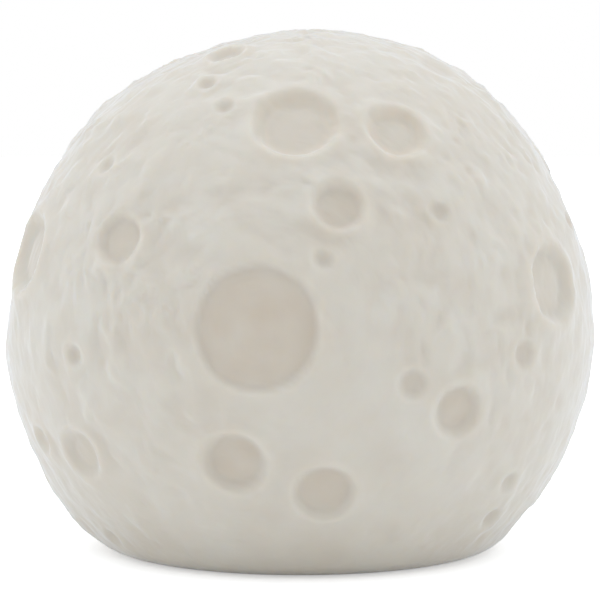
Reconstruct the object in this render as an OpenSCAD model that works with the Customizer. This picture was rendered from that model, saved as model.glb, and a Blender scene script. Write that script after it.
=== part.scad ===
// Moon lamp: a hollow ball of soft vinyl with craters, cut flat where it stands, over a
// base plug that holds three small cells, a slide switch and a warm white lamp board.
// Millimetres, +Z up. The origin is the middle of the foot, on the table, and -Y is the front.

/* [Ball] */
// Diameter of the ball, over its smooth surface
ball_d = 145; // [125:1:170]
// Radius of the round edge between the ball and its flat foot
foot_fillet_r = 13; // [9:0.5:15]
// Width of the flat vinyl ring that the lamp stands on
foot_ring_w = 2.7; // [2:0.1:5]
// Thickness of the vinyl wall
vinyl_t = 2.6; // [2.2:0.1:3.2]

/* [Craters] */
// Height of a crater's rim, as a share of its depth
rim_share = 0.2; // [0.1:0.02:0.3]
// Width of a rim's outer slope, as a share of the crater's radius
rim_slope_share = 0.3; // [0.2:0.02:0.4]
// Steepness of the walls of the wide craters, as the power that their bowl follows
wide_bowl_power = 4; // [3:0.5:6]
// Steepness of the walls of the small pits
pit_bowl_power = 2.4; // [2:0.2:3]

/* [Cells] */
// Diameter of one cell
cell_d = 10.5; // [10:0.1:11]
// Length of one cell over its positive nub
cell_l = 44.5; // [43:0.5:46]
// Diameter of the positive nub
nub_d = 3.8; // [3.2:0.1:4.4]
// Length of the positive nub
nub_l = 0.9; // [0.6:0.1:1.2]
// Air between two cells
cell_gap = 0.9; // [0.7:0.1:1.4]
// Length of a cell's spring when the cell is in
spring_l = 6.1; // [5.5:0.1:7]
// Diameter of the spring's wire
spring_wire_d = 0.6; // [0.4:0.1:0.7]
// Turns of one spring
spring_turns = 4; // [3:1:4]

/* [Base plug] */
// Height of the plug's face above the table
plate_inset = 0.8; // [0.6:0.1:1.2]
// Thickness of the plug's face plate
plate_t = 2; // [1.8:0.1:2.4]
// Thickness of the plug's other walls
wall_t = 1.5; // [1.2:0.1:1.8]
// Thickness of the vinyl lip that the plug and its cover clamp
lip_t = 2.4; // [2:0.1:3]
// How far the vinyl lip reaches over the face plate
lip_lap = 3; // [2.5:0.1:4]
// Height of the wiring room between the battery box and the cover's deck
wiring_h = 3.7; // [3.3:0.1:5]
// Diameter of the four long screws' thread
long_screw_d = 2.6; // [2.4:0.1:2.8]
// Length of the four long screws under the head
long_screw_l = 10; // [9:0.5:12]

/* [Battery door] */
// How far the door laps the edge of the battery bay
door_lap = 1.5; // [1.3:0.1:1.7]
// Length of the round bar along the door's front edge, which is its hinge
hinge_l = 26; // [20:0.5:28]
// Diameter of the hinge's bar
hinge_d = 3; // [2.8:0.1:3.2]
// Diameter of the pins at the ends of the bar
hinge_pin_d = 1.8; // [1.6:0.1:2]
// Length of one hinge pin
hinge_pin_l = 1.6; // [1.2:0.1:2]
// Thickness of the foam pad
foam_t = 0.8; // [0.5:0.1:1.2]

/* [Switch] */
// Travel of the switch to each side of its middle position
switch_travel = 2; // [1.5:0.1:2]
// Length of the knob along its travel
knob_l = 4.2; // [3.8:0.1:5]
// Width of the knob
knob_w = 3; // [2.6:0.1:3.4]

/* [Lamp board] */
// Diameter of the lamp board
board_d = 44; // [40:1:46]
// Thickness of both circuit boards
board_t = 1; // [0.8:0.1:1.6]
// Number of lamp chips
led_count = 6; // [4:1:8]
// Diameter of the ring that the lamp chips stand on
led_ring_d = 24; // [20:1:26]
// Room round the lamp board for the leads, out to the light spreader
spreader_room = 8; // [7.5:0.1:8.5]
// Height of the light spreader
spreader_h = 22; // [19:0.5:30]
// Thickness of the light spreader
spreader_t = 1.5; // [1.2:0.1:2]
// Diameter of a lead over its insulation
lead_d = 1.2; // [1:0.1:1.4]

/* [Hidden] */
$fn = 96;

// Clearances
gap = 0.1; // between faces that meet
slip = 0.3; // round a part that moves or drops in
screw_slip = 0.2; // round a screw, and as much bite where it cuts its own thread
pin_slip = 0.06; // round a hinge pin
over = 1; // how far a cutter passes a face
skin_t = 0.6; // least wall beside a bore or over a slot

// Columns of a crater: azimuth from the front towards +X and elevation, in degrees, then
// radius and depth in mm
AZ = 0;
EL = 1;
RAD = 2;
DEEP = 3;
// The front's craters, as the eye finds them from the front
FRONT_CRATERS = [
    [-8, 4, 13.4, 1.7], [-1, 44, 10.2, 2.1], [24.5, 42, 7.4, 1.9], [8, 26.5, 5.9, 1.5],
    [-37.5, 19.5, 5.9, 1.4], [-66, 15.5, 9.3, 2], [55.5, 11, 9.1, 2.1], [30.5, -11.5, 5.8, 1.3],
    [21, -6, 3.1, 0.7], [-12.5, -21, 7, 1.3], [5, -27, 6.7, 1.2], [-49, -21.5, 5.7, 1.2],
    [-64, -20.5, 3.2, 0.8], [-46, -2.5, 2.3, 0.6], [4.5, 16, 2.1, 0.6], [29, 25, 2.3, 0.6],
    [45.5, -2, 2.9, 0.8], [49.5, -28, 2.6, 0.6], [50, -36, 2.6, 0.7], [-48.5, 34, 2.4, 0.6],
    [-21, 48.5, 2.4, 0.7], [-32, 55.5, 2.4, 0.6], [-39, 67, 4.6, 1.1], [-57, -39, 2.8, 0.6],
    [72, 21, 2.7, 0.6], [63, 58, 4.4, 0.8]
];
// The back's craters, spread in the same mix of sizes
BACK_CRATERS = [
    [172, 16, 12.2, 1.8], [146, 42, 7.8, 1.9], [-148, 30, 9, 2], [118, 16, 7, 1.6],
    [-116, 24, 4.2, 1], [-128, -6, 6.4, 1.4], [-93, -8, 5.2, 1.2], [94, -14, 6.2, 1.3],
    [136, -18, 4.6, 1.1], [-164, -24, 6.8, 1.3], [160, -30, 3, 0.8], [-104, -32, 4.4, 1],
    [112, 46, 3.4, 0.8], [-96, 50, 6.2, 1.5], [-170, 62, 6.6, 1.5], [-140, 58, 2.6, 0.7],
    [96, 66, 2.8, 0.7], [130, 4, 2.4, 0.6], [-158, 4, 2.6, 0.7], [-110, 6, 2.4, 0.6],
    [86, 34, 2.6, 0.7], [160, -8, 2.8, 0.7], [116, -36, 2.6, 0.6], [-134, -38, 2.8, 0.6],
    [80, -34, 3.4, 0.8], [-80, -30, 2.4, 0.6]
];
CRATERS = concat(FRONT_CRATERS, BACK_CRATERS);
pit_r = 4; // a crater under this radius is a plain pit
bowl_steps = [0, 0.35, 0.6, 0.8, 0.9, 1]; // shares of the radius at the bowl's corners

// Battery bay, with its cells along Y
cell_pitch = cell_d + cell_gap;
contact_t = 0.4;
contact_w = 7.6;
contact_h = 7.2;
tail_w = 2.4;
tail_h = 2;
button_h = 0.6;
button_r = 2;
bay_side_gap = 0.2;
bay_w = 3 * cell_pitch + 2 * bay_side_gap;
bay_l = cell_l + 2 * contact_t + button_h + spring_l;
bay_rib_w = 0.6;
bay_rib_h = 2.6;
bay_rib_end = 6; // from the bay's end wall to the rib
box_w = bay_w + 2 * wall_t;
box_l = bay_l + 2 * wall_t;

// The stack of the plug, from the table up
plate_top = plate_inset + plate_t;
lip_bottom = plate_top + gap;
lip_top = lip_bottom + lip_t;
door_top = plate_top - gap;
cell_z = door_top + foam_t + slip + cell_d / 2;
bay_top = cell_z + cell_d / 2 + 2 * slip;
box_top = bay_top + wall_t;
deck_bottom = box_top + wiring_h;
deck_top = deck_bottom + wall_t;
cover_bottom = lip_top + gap;
flange_t = 1.6;

// Switch, beside the battery box
switch_x = box_w / 2 + 8.7;
knob_slip = 0.2;
knob_proud = 0.3;
slot_w = knob_w + 2 * knob_slip;
slot_l = knob_l + 2 * switch_travel + 2 * slip;
well_edge = 1.5; // from the slot to the edge of the shallow well round it
well_depth = 0.7;
knob_face = plate_inset - knob_proud;
knob_flange_t = 0.8;
knob_flange_w = knob_w + 2.4;
knob_flange_l = slot_l + 2 * switch_travel + 1;
can_w = 3.8;
can_l = 9;
can_h = 3.6;
can_t = 0.8;
can_bottom = plate_top + 3.2;
can_top = can_bottom + can_h;
lever_w = 1.5;
lever_foot_w = 2.2;
lever_foot_h = 1.6;
post_r = 2.2;
post_y = knob_flange_l / 2 + switch_travel + post_r + skin_t;
switch_board_w = 7.8;
switch_board_l = 2 * (post_y + 2.3);
switch_board_corner_r = 1;
switch_board_edge = [switch_board_w / 2, switch_board_l / 2] - [1, 1] * switch_board_corner_r;
small_screw_r = 0.8;
small_head_r = 1.7;
small_head_h = 1.1;
small_screw_l = 4;
mark_h = 0.2;
mark_r = 1.3;
mark_line_w = 0.4;
mark_x = switch_x + slot_w / 2 + 3.4;
mark_y = switch_travel + 2.4;

// The rings of the plug: the cover goes round the battery box and the switch's board
box_corner_r = norm([box_w, box_l]) / 2 + 1.1;
switch_corner_r = norm([switch_x, 0] + switch_board_edge) + switch_board_corner_r + slip;
cover_in_r = max(box_corner_r, switch_corner_r);
cover_out_r = cover_in_r + wall_t;
opening_r = cover_out_r;
spigot_r = opening_r - slip;
plate_r = opening_r + lip_lap;
plate_slip = 0.4;
recess_r = plate_r + plate_slip;
foot_flat_r = recess_r + foot_ring_w;

// The ball over its foot
ball_r = ball_d / 2;
ball_h = foot_fillet_r + sqrt(pow(ball_r - foot_fillet_r, 2) - pow(foot_flat_r, 2));
foot_angle = asin((ball_h - foot_fillet_r) / (ball_r - foot_fillet_r));
foot_top = ball_h - ball_r * sin(foot_angle);
foot_steps = 12;
rim_sunk = 1.2; // how deep a rim's root lies in the ball

// Battery door, its hinge at the front and its captive screw at the back
door_w = bay_w + 2 * door_lap;
door_back = bay_l / 2 + door_lap;
door_front = -(bay_l / 2 - 0.8); // inside the bay, so that the edge clears it as the door swings
door_corner_r = 3;
foam_w = bay_w - 5;
foam_l = 12;
grip_w = 13;
grip_l = 1;
grip_h = 0.3;
grip_pitch = 2.2;
grip_y = door_back - 6;
hinge_r = hinge_d / 2;
hinge_pin_r = hinge_pin_d / 2;
hinge_bore_r = hinge_pin_r + pin_slip;
hinge_y = -(bay_l / 2 + skin_t + hinge_bore_r);
hinge_z = plate_inset + hinge_r;
hinge_room_front = hinge_y - hinge_r - slip;
hinge_room_top = hinge_z + hinge_r + slip;
ledge_w = 2.2;
ledge_top = hinge_room_top + 0.8;
tongue_r = 3.6;
door_screw_y = door_back + 2.8;
door_screw_head_r = 2.6;
door_screw_head_h = 1.1;
door_screw_seat = plate_inset + door_screw_head_h + gap;
door_screw_r = 1.5;
thread_depth = 0.3; // the thread isn't cut, so the screw is drawn this much thinner
door_screw_core_r = door_screw_r - thread_depth;
boss_r = 3;
boss_top = plate_top + 2 * gap;
ring_t = 0.45;
ring_w = 1.2;
nut_side = 5.5;
nut_t = 1.8;
nut_seat_t = 1.2;
nut_bottom = boss_top + ring_t + gap + slip + nut_seat_t;
nut_block_w = nut_side + 4;
door_screw_tip = nut_bottom + nut_t + slip;

// Long screws that draw the plug to the cover, in posts that touch the plug's inner circle
long_head_r = 2.4;
long_head_h = 1.7;
long_seat = plate_top + 0.8;
long_post_r = 3.3;
long_screw_x = box_w / 2 + 2.1 + long_post_r;
long_screw_y = sqrt(pow(cover_in_r - slip - long_post_r, 2) - pow(long_screw_x, 2));
post_split = cover_bottom + 1.1; // where the plug's posts meet the cover's

// Lamp board on the cover's deck
board_r = board_d / 2;
board_bottom = deck_top + 3;
board_top = board_bottom + board_t;
board_post_r = 2.8;
board_screw_ring_r = board_r - 4;
spreader_r = board_r + spreader_room;
spreader_wall_h = 5;
spreader_cap_h = spreader_h - spreader_wall_h;
leg_w = 5;
leg_hook_t = 0.6;
leg_hook_h = 0.9;
chip_l = 3.5;
chip_w = 2.8;
chip_h = 0.8;

// Leads: where they rise through the deck and where they land on the board
lead_hole_r = 1.9;
lead_hole_ring_r = board_r + 3.2;
lead_side_x = 6;
lead_pair_y = 2.2;
pad_h = 0.6;
pad_r = 1.2;
pad_ring_r = board_r - 4.5;
lead_end = board_top + pad_h + gap;
lead_over_board = board_top + 1.9; // the top of the bow over the board's edge
lead_steps = 3;
lead_sides = 8;

// ------------------------------------------------------------------ shapes that repeat

// A flat plate with round corners, w by l, lying on z = 0
module round_plate(w, l, r, t) {
    linear_extrude(t) {
        square([w - 2 * r, l], center = true);
        square([w, l - 2 * r], center = true);
        for (x = [-1, 1], y = [-1, 1])
            translate([x * (w / 2 - r), y * (l / 2 - r)])
                circle(r);
    }
}

// A box centred on x and y, from z0 up to z1
module slab(w, l, z0, z1) {
    translate([-w / 2, -l / 2, z0])
        cube([w, l, z1 - z0]);
}

// A round post from z0 up to z1
module post(r, z0, z1) {
    translate([0, 0, z0])
        cylinder(r = r, h = z1 - z0);
}

module tube(r_out, r_in, z0, z1) {
    difference() {
        post(r_out, z0, z1);
        post(r_in, z0 - over, z1 + over);
    }
}

module at_long_screws() {
    for (x = [-1, 1], y = [-1, 1])
        translate([x * long_screw_x, y * long_screw_y, 0])
            children();
}

module at_board_screws() {
    for (a = [90, 210, 330])
        rotate([0, 0, a])
            translate([board_screw_ring_r, 0, 0])
                children();
}

module at_switch_posts() {
    for (y = [-1, 1])
        translate([switch_x, y * post_y, 0])
            children();
}

// A screw that points along +Z with its head under the seat at z = 0
module screw(head_r, head_h, core_r, l) {
    drive_w = 0.6;
    drive_l = head_r * 1.15;
    difference() {
        union() {
            post(head_r, -head_h, 0);
            post(core_r, 0, l - core_r);
            translate([0, 0, l - core_r])
                cylinder(r1 = core_r, r2 = core_r * 0.4, h = core_r);
        }
        for (a = [0, 90])
            rotate([0, 0, a])
                slab(drive_l, drive_w, -head_h - over, -head_h * 0.4);
    }
}

// ------------------------------------------------------------------ tubes along a line

function unit(v) = v / norm(v);

// The point at share t of the smooth curve from b to c, whose neighbours are a and d
function on_curve(a, b, c, d, t) =
    0.5 * (2 * b + (c - a) * t + (2 * a - 5 * b + 4 * c - d) * t * t
        + (3 * b - a - 3 * c + d) * t * t * t);

// A smooth curve through the points p, with n steps from each to the next
function smooth(p, n) = concat(
    [for (i = [0:len(p) - 2], k = [0:n - 1])
        on_curve(p[max(i - 1, 0)], p[i], p[i + 1], p[min(i + 2, len(p) - 1)], k / n)],
    [p[len(p) - 1]]);

function tangent(p, i) = unit(p[min(i + 1, len(p) - 1)] - p[max(i - 1, 0)]);

// What is left of n square to t, so that the tube doesn't twist
function squared(n, t) = unit(n - (n * t) * t);

function normals(p) =
    [for (i = 0, n = squared([0.31, 0.17, 0.94], tangent(p, 0));
        i < len(p);
        i = i + 1, n = i < len(p) ? squared(n, tangent(p, i)) : n) n];

// A round tube of radius r along the line p
module sweep(p, r, sides) {
    side = normals(p);
    last = (len(p) - 1) * sides;
    points = [for (i = [0:len(p) - 1], k = [0:sides - 1])
        let (up = cross(tangent(p, i), side[i]), a = 360 * k / sides)
            p[i] + r * (cos(a) * side[i] + sin(a) * up)];
    walls = [for (i = [0:len(p) - 2], k = [0:sides - 1])
        let (a = i * sides + k, b = i * sides + (k + 1) % sides)
            each [[a, a + sides, b], [b, a + sides, b + sides]]];
    ends = [
        [for (k = [0:sides - 1]) k],
        [for (k = [0:sides - 1]) last + sides - 1 - k]
    ];
    polyhedron(points, concat(walls, ends));
}

// ------------------------------------------------------------------ vinyl ball

// Height of the ball's skin over its centre at a distance r from a crater's axis
function skin_h(r) = sqrt(ball_r * ball_r - r * r);

function bowl_power(c) = c[RAD] < pit_r ? pit_bowl_power : wide_bowl_power;
function rim_h(c) = c[DEEP] * rim_share;
function floor_h(c) = skin_h(c[RAD]) - c[DEEP];

// How far the middle of the crater lies under the ball's surface
function drop(c) = ball_r - floor_h(c);

module at_crater(c) {
    translate([0, 0, ball_h])
        rotate([90 - c[EL], 0, c[AZ]])
            children();
}

// What a crater takes away: a bowl that follows a power curve up to the crest of its rim.
// A wider and deeper copy, by t, keeps the vinyl at its full thickness behind the bowl.
module bowl(c, t = 0) {
    r = c[RAD] + 0.6 * t;
    low = floor_h(c) - t;
    high = skin_h(c[RAD]) + rim_h(c);
    top = ball_r + over + c[DEEP];
    at_crater(c)
        rotate_extrude()
            polygon(concat(
                [for (u = bowl_steps) [r * u, low + (high - low) * pow(u, bowl_power(c))]],
                [[r, top], [0, top]]));
}

// The ring of vinyl that stands proud round a crater, sunk into the ball below
module rim(c) {
    r = c[RAD];
    slope_w = r * rim_slope_share;
    at_crater(c)
        rotate_extrude()
            polygon([
                [r - slope_w, skin_h(r) - rim_sunk],
                [r, skin_h(r) + rim_h(c)],
                [r + slope_w, skin_h(r + slope_w) - gap],
                [r + slope_w, skin_h(r + slope_w) - rim_sunk]
            ]);
}

module half_space_above(z) {
    slab(3 * ball_r, 3 * ball_r, z, z + 3 * ball_r);
}

module ball(r, bottom) {
    intersection() {
        translate([0, 0, ball_h])
            sphere(r);
        half_space_above(bottom);
    }
}

// The round edge and the flat of the foot, up to where the ball's own surface takes over
module foot() {
    centre = [foot_flat_r, foot_fillet_r];
    edge = [for (i = [0:foot_steps])
        let (a = -90 + (90 - foot_angle) * i / foot_steps)
            centre + foot_fillet_r * [cos(a), sin(a)]];
    rotate_extrude()
        polygon(concat([[0, 0]], edge, [[0, foot_top]]));
}

module moon_shell() {
    color([0.9, 0.885, 0.85])
        difference() {
            union() {
                ball(ball_r, foot_top);
                foot();
                for (c = CRATERS)
                    rim(c);
            }
            for (c = CRATERS)
                bowl(c);
            difference() {
                ball(ball_r - vinyl_t, lip_top);
                for (c = CRATERS)
                    if (drop(c) > vinyl_t / 3)
                        bowl(c, vinyl_t);
            }
            post(opening_r, -over, lip_top + over);
            post(recess_r, -over, lip_bottom);
        }
}

// ------------------------------------------------------------------ base plug

// The door's outline grown by g, from z0 up to z1: a round plate that begins at plate_front, a
// tongue for its screw, and a strip to its hinge that begins at strip_front
module door_outline(g, z0, z1, plate_front, strip_front) {
    plate_l = door_back + g - plate_front;
    strip_l = door_front + door_corner_r - strip_front;
    translate([0, plate_front + plate_l / 2, z0])
        round_plate(door_w + 2 * g, plate_l, door_corner_r, z1 - z0);
    translate([0, strip_front + strip_l / 2, 0])
        slab(hinge_l + 2 * g, strip_l, z0, z1);
    translate([0, door_screw_y, 0])
        post(tongue_r + g, z0, z1);
    translate([0, door_screw_y / 2, 0])
        slab(2 * (tongue_r + g), door_screw_y, z0, z1);
}

// A round bar along the hinge's axis, r by l
module hinge_bar(r, l) {
    translate([-l / 2, hinge_y, hinge_z])
        rotate([0, 90, 0])
            cylinder(r = r, h = l);
}

// The box that holds the cells, open below, with a ledge that the door shuts against
module battery_box() {
    ledge_l = 2 * (skin_t - hinge_room_front);
    intersection() {
        translate([0, 0, plate_top])
            round_plate(door_w + 2 * ledge_w, ledge_l, door_corner_r, ledge_top - plate_top);
        post(spigot_r, 0, box_top);
    }
    slab(box_w, box_l, plate_top, box_top);
}

// Room for the cells, with ribs between them left standing, and slots for the contacts' tails
module battery_bay() {
    difference() {
        slab(bay_w, bay_l, plate_top - gap, bay_top);
        for (x = [-1, 1])
            translate([x * cell_pitch / 2, 0, 0])
                slab(bay_rib_w, bay_l - 2 * bay_rib_end, bay_top - bay_rib_h, box_top);
    }
    for (s = [-1, 1])
        translate([s * cell_pitch, s * (bay_l / 2 - contact_t / 2), 0])
            slab(tail_w + 0.8, contact_t + 1.6, bay_top - over, box_top + over);
}

// Room for the door's hinge to turn in, and the bores of its pins
module hinge_room() {
    room_back = -bay_l / 2 + over;
    translate([0, (hinge_room_front + room_back) / 2, 0])
        slab(hinge_l + 2 * slip, room_back - hinge_room_front, plate_inset - over, hinge_room_top);
    hinge_bar(hinge_bore_r, hinge_l + 2 * hinge_pin_l + 2 * slip);
}

// The block that traps the door screw's nut
module nut_block() {
    block_l = door_screw_y + nut_side;
    intersection() {
        translate([0, block_l / 2, 0])
            slab(nut_block_w, block_l, plate_top, nut_bottom + nut_t + 1);
        post(cover_in_r - slip, 0, box_top);
        translate([0, ball_r + box_l / 2 - gap, 0])
            slab(2 * ball_r, 2 * ball_r, 0, box_top);
    }
}

module nut_room() {
    translate([0, door_screw_y, 0]) {
        post(boss_r + 0.5, 0, boss_top + ring_t + gap + slip);
        post(door_screw_r + screw_slip, 0, nut_bottom + over);
        slab(nut_side + 2 * gap, nut_side + 2 * gap, nut_bottom, nut_bottom + nut_t + 5);
    }
}

// Raised marks beside the switch: a bar for on, a ring for off, a clock for the sleep timer
module switch_marks() {
    translate([mark_x, 0, plate_inset - mark_h]) {
        tube(mark_r, mark_r - mark_line_w, 0, mark_h + gap);
        translate([0, mark_y, 0])
            slab(2 * mark_r, mark_line_w, 0, mark_h + gap);
        translate([0, -mark_y, 0]) {
            tube(mark_r, mark_r - mark_line_w, 0, mark_h + gap);
            translate([0, -mark_r / 4, 0])
                slab(mark_line_w, mark_r / 2 + mark_line_w, 0, mark_h + gap);
        }
    }
}

module base_plug() {
    color("white")
        difference() {
            union() {
                post(plate_r, plate_inset, plate_top);
                tube(spigot_r, spigot_r - wall_t, plate_top - gap, lip_top);
                battery_box();
                nut_block();
                at_long_screws()
                    post(long_post_r, plate_top - gap, post_split - gap);
                at_switch_posts()
                    post(post_r, plate_top - gap, can_top);
                switch_marks();
            }
            door_outline(slip, plate_inset - over, plate_top, -bay_l / 2, hinge_room_front);
            battery_bay();
            hinge_room();
            nut_room();
            at_long_screws() {
                post(long_head_r + slip, 0, long_seat);
                post(long_screw_d / 2 + screw_slip, 0, post_split + over);
            }
            at_switch_posts()
                post(small_screw_r + gap / 2, can_top - small_screw_l, can_top + over);
            translate([switch_x, 0, 0]) {
                slab(slot_w, slot_l, 0, plate_top + over);
                translate([0, 0, -over])
                    round_plate(slot_w + 2 * well_edge, slot_l + 2 * well_edge, 2,
                        plate_inset + well_depth + over);
            }
        }
}

// ------------------------------------------------------------------ cover over the plug

module inner_cover() {
    slot_r = spreader_r - spreader_t / 2;
    color("white")
        difference() {
            union() {
                tube(cover_out_r, cover_in_r, cover_bottom, deck_bottom + gap);
                tube(plate_r - slip, cover_in_r, cover_bottom, cover_bottom + flange_t);
                post(cover_out_r, deck_bottom, deck_top);
                at_long_screws()
                    post(long_post_r - screw_slip, post_split, deck_bottom + gap);
                at_board_screws()
                    post(board_post_r, deck_top - gap, board_bottom);
            }
            at_long_screws()
                post(long_screw_d / 2 - gap, post_split - over, long_seat + long_screw_l + over);
            at_board_screws()
                post(small_screw_r + gap / 2, board_top - small_screw_l - slip, board_bottom + over);
            for (a = [0, 120, 240])
                rotate([0, 0, a])
                    translate([slot_r + leg_hook_t / 2, 0, 0])
                        slab(spreader_t + leg_hook_t + over, leg_w + 2 * slip, deck_bottom - over,
                            deck_top + over);
            for (p = lead_holes())
                translate(p)
                    post(lead_hole_r, deck_bottom - over, deck_top + over);
        }
}

// Where the leads rise through the deck: red, black, and the pair from the switch
function lead_holes() = [
    [-lead_side_x, -lead_hole_ring_r, 0],
    [lead_side_x, lead_hole_ring_r, 0],
    [lead_hole_ring_r, 0, 0]
];

module long_screws() {
    color("silver")
        at_long_screws()
            translate([0, 0, long_seat])
                screw(long_head_r, long_head_h, long_screw_d / 2 - screw_slip, long_screw_l);
}

// ------------------------------------------------------------------ battery door

module battery_door() {
    color("white")
        difference() {
            union() {
                door_outline(0, plate_inset, door_top, door_front, hinge_y);
                hinge_bar(hinge_r, hinge_l);
                hinge_bar(hinge_pin_r, hinge_l + 2 * hinge_pin_l);
                translate([0, door_screw_y, 0])
                    post(boss_r, door_top - gap, boss_top);
                for (i = [0:2])
                    translate([0, grip_y - grip_pitch * i, plate_inset - grip_h])
                        round_plate(grip_w, grip_l, 0.4, grip_h + gap);
            }
            translate([0, door_screw_y, 0]) {
                post(door_screw_head_r + slip, 0, door_screw_seat);
                post(door_screw_r + gap, 0, boss_top + over);
            }
        }
}

module door_foam() {
    color("dimgray")
        translate([0, 0, door_top])
            round_plate(foam_w, foam_l, 1.5, foam_t);
}

module door_screw() {
    l = door_screw_tip - door_screw_seat;
    color("silver")
        translate([0, door_screw_y, door_screw_seat])
            screw(door_screw_head_r, door_screw_head_h, door_screw_core_r, l);
}

// The split ring that keeps the screw in the door when it is loose
module door_screw_ring() {
    color("dimgray")
        translate([0, door_screw_y, 0])
            tube(door_screw_core_r + ring_w, door_screw_core_r + 0.03, boss_top + gap / 2,
                boss_top + ring_t);
}

module door_nut() {
    color("gold")
        translate([0, door_screw_y, 0])
            difference() {
                slab(nut_side, nut_side, nut_bottom, nut_bottom + nut_t);
                post(door_screw_r, 0, nut_bottom + nut_t + over);
            }
}

// ------------------------------------------------------------------ cells and contacts

// One cell along Y at the column i, -1, 0 or 1, with its nub to the front or to the back
module cell(i) {
    way = i == 0 ? 1 : -1;
    face = bay_l / 2 - contact_t - button_h - gap / 2;
    crimp = 0.6;
    translate([i * cell_pitch, 0, cell_z])
        rotate([way * -90, 0, 0])
            translate([0, 0, face])
                rotate([180, 0, 0])
                    rotate_extrude()
                        polygon([
                            [0, 0], [nub_d / 2, 0], [nub_d / 2, nub_l],
                            [cell_d / 2 - 1.2, nub_l], [cell_d / 2 - crimp, nub_l + 0.3],
                            [cell_d / 2, nub_l + 0.9], [cell_d / 2, cell_l - crimp],
                            [cell_d / 2 - crimp, cell_l], [0, cell_l]
                        ]);
}

module cell_left() {
    color("darkseagreen")
        cell(-1);
}

module cell_middle() {
    color("darkseagreen")
        cell(0);
}

module cell_right() {
    color("darkseagreen")
        cell(1);
}

// A contact plate on the bay's front wall, s = -1, or back wall, s = 1, from column a to b
module contact_plate(s, a, b) {
    width = (b - a) * cell_pitch + contact_w;
    translate([(a + b) / 2 * cell_pitch, s * (bay_l / 2 - contact_t / 2 - gap / 4), 0])
        slab(width, contact_t - gap / 2, cell_z - contact_h / 2, cell_z + contact_h / 2);
}

// The raised button that a cell's nub meets
module button(s, i) {
    translate([i * cell_pitch, s * (bay_l / 2 - contact_t), cell_z])
        rotate([s * 90, 0, 0])
            translate([0, 0, -gap])
                cylinder(r = button_r, h = button_h + gap);
}

// The tail that carries a lead, up through the roof of the battery box
module contact_tail(s) {
    translate([s * cell_pitch, s * (bay_l / 2 - contact_t / 2 - gap / 4), 0])
        slab(tail_w, contact_t - gap / 2, cell_z, box_top + tail_h);
}

module contact_positive() {
    color("silver") {
        contact_plate(-1, -1, -1);
        button(-1, -1);
        contact_tail(-1);
    }
}

module contact_negative() {
    color("silver") {
        contact_plate(1, 1, 1);
        contact_tail(1);
    }
}

module contact_link_rear() {
    color("silver") {
        contact_plate(1, -1, 0);
        button(1, 0);
    }
}

module contact_link_front() {
    color("silver") {
        contact_plate(-1, 0, 1);
        button(-1, 1);
    }
}

// Centre line of a cone spring along +Z: its coil closes in from the plate to the cell
spring_rings = 8;
spring_wide_r = 3.6;
spring_narrow_r = 2.4;
spring_rise = spring_l - spring_wire_d - 2 * gap;
spring_line = [for (i = [0:spring_turns * spring_rings])
    let (t = i / (spring_turns * spring_rings), r = spring_wide_r + (spring_narrow_r - spring_wide_r) * t)
        [r * cos(360 * spring_turns * t), r * sin(360 * spring_turns * t), spring_rise * t]];
spring_room = min([for (i = [0:len(spring_line) - 1], k = [i + spring_rings / 2:len(spring_line) - 1])
    norm(spring_line[i] - spring_line[k])]) - spring_wire_d;
echo(least_gap_between_turns = spring_room);

module cell_springs() {
    start = contact_t + spring_wire_d / 2 + gap;
    color("silver")
        for (i = [-1:1]) {
            s = i == 0 ? -1 : 1;
            translate([i * cell_pitch, s * (bay_l / 2 - start), cell_z])
                rotate([s * 90, 0, 0])
                    sweep(spring_line, spring_wire_d / 2, 6);
        }
}

// ------------------------------------------------------------------ switch

// The knob: a block that shows in the slot, a flange behind the plate that keeps it in, and
// a socket for the switch's lever
module switch_knob() {
    flange_bottom = plate_top + gap;
    flange_top = flange_bottom + knob_flange_t;
    socket_top = can_bottom - 0.5;
    color("whitesmoke")
        translate([switch_x, 0, 0])
            difference() {
                union() {
                    slab(knob_w, knob_l, knob_face, flange_top);
                    translate([0, 0, flange_bottom])
                        round_plate(knob_flange_w, knob_flange_l, 1, knob_flange_t);
                    slab(knob_w, knob_l, flange_bottom, socket_top);
                }
                for (y = [-1:1])
                    translate([0, y * knob_l / 4, 0])
                        slab(knob_w + over, 0.4, 0, knob_face + 0.3);
                slab(lever_w + 2 * gap, lever_w + 2 * gap, flange_bottom, socket_top + over);
            }
}

module switch_lever() {
    foot_bottom = can_bottom + can_t + gap;
    color("black")
        translate([switch_x, 0, 0]) {
            slab(lever_w, lever_w, plate_top + gap + 0.4, foot_bottom + gap);
            slab(lever_foot_w, lever_foot_w, foot_bottom, foot_bottom + lever_foot_h);
        }
}

module switch_can() {
    color("silver")
        translate([switch_x, 0, 0])
            difference() {
                slab(can_w, can_l, can_bottom, can_top);
                slab(lever_w + 2 * slip, lever_w + 2 * switch_travel + 2 * slip,
                    can_bottom - over, can_top - can_t);
                slab(lever_foot_w + slip, lever_foot_w + 2 * switch_travel + 2 * slip,
                    can_bottom + can_t, can_bottom + can_t + lever_foot_h + slip);
            }
}

module switch_board() {
    color("seagreen")
        translate([switch_x, 0, can_top])
            difference() {
                round_plate(switch_board_w, switch_board_l, switch_board_corner_r, board_t);
                for (y = [-1, 1])
                    translate([0, y * post_y, 0])
                        post(small_screw_r + screw_slip, -over, board_t + over);
            }
}

module switch_board_screws() {
    color("silver")
        at_switch_posts()
            translate([0, 0, can_top + board_t])
                rotate([180, 0, 0])
                    screw(small_head_r, small_head_h, small_screw_r, small_screw_l);
}

// ------------------------------------------------------------------ lamp board

module lamp_board() {
    color("white")
        difference() {
            post(board_r, board_bottom, board_top);
            at_board_screws()
                post(small_screw_r + screw_slip, board_bottom - over, board_top + over);
        }
}

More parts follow.
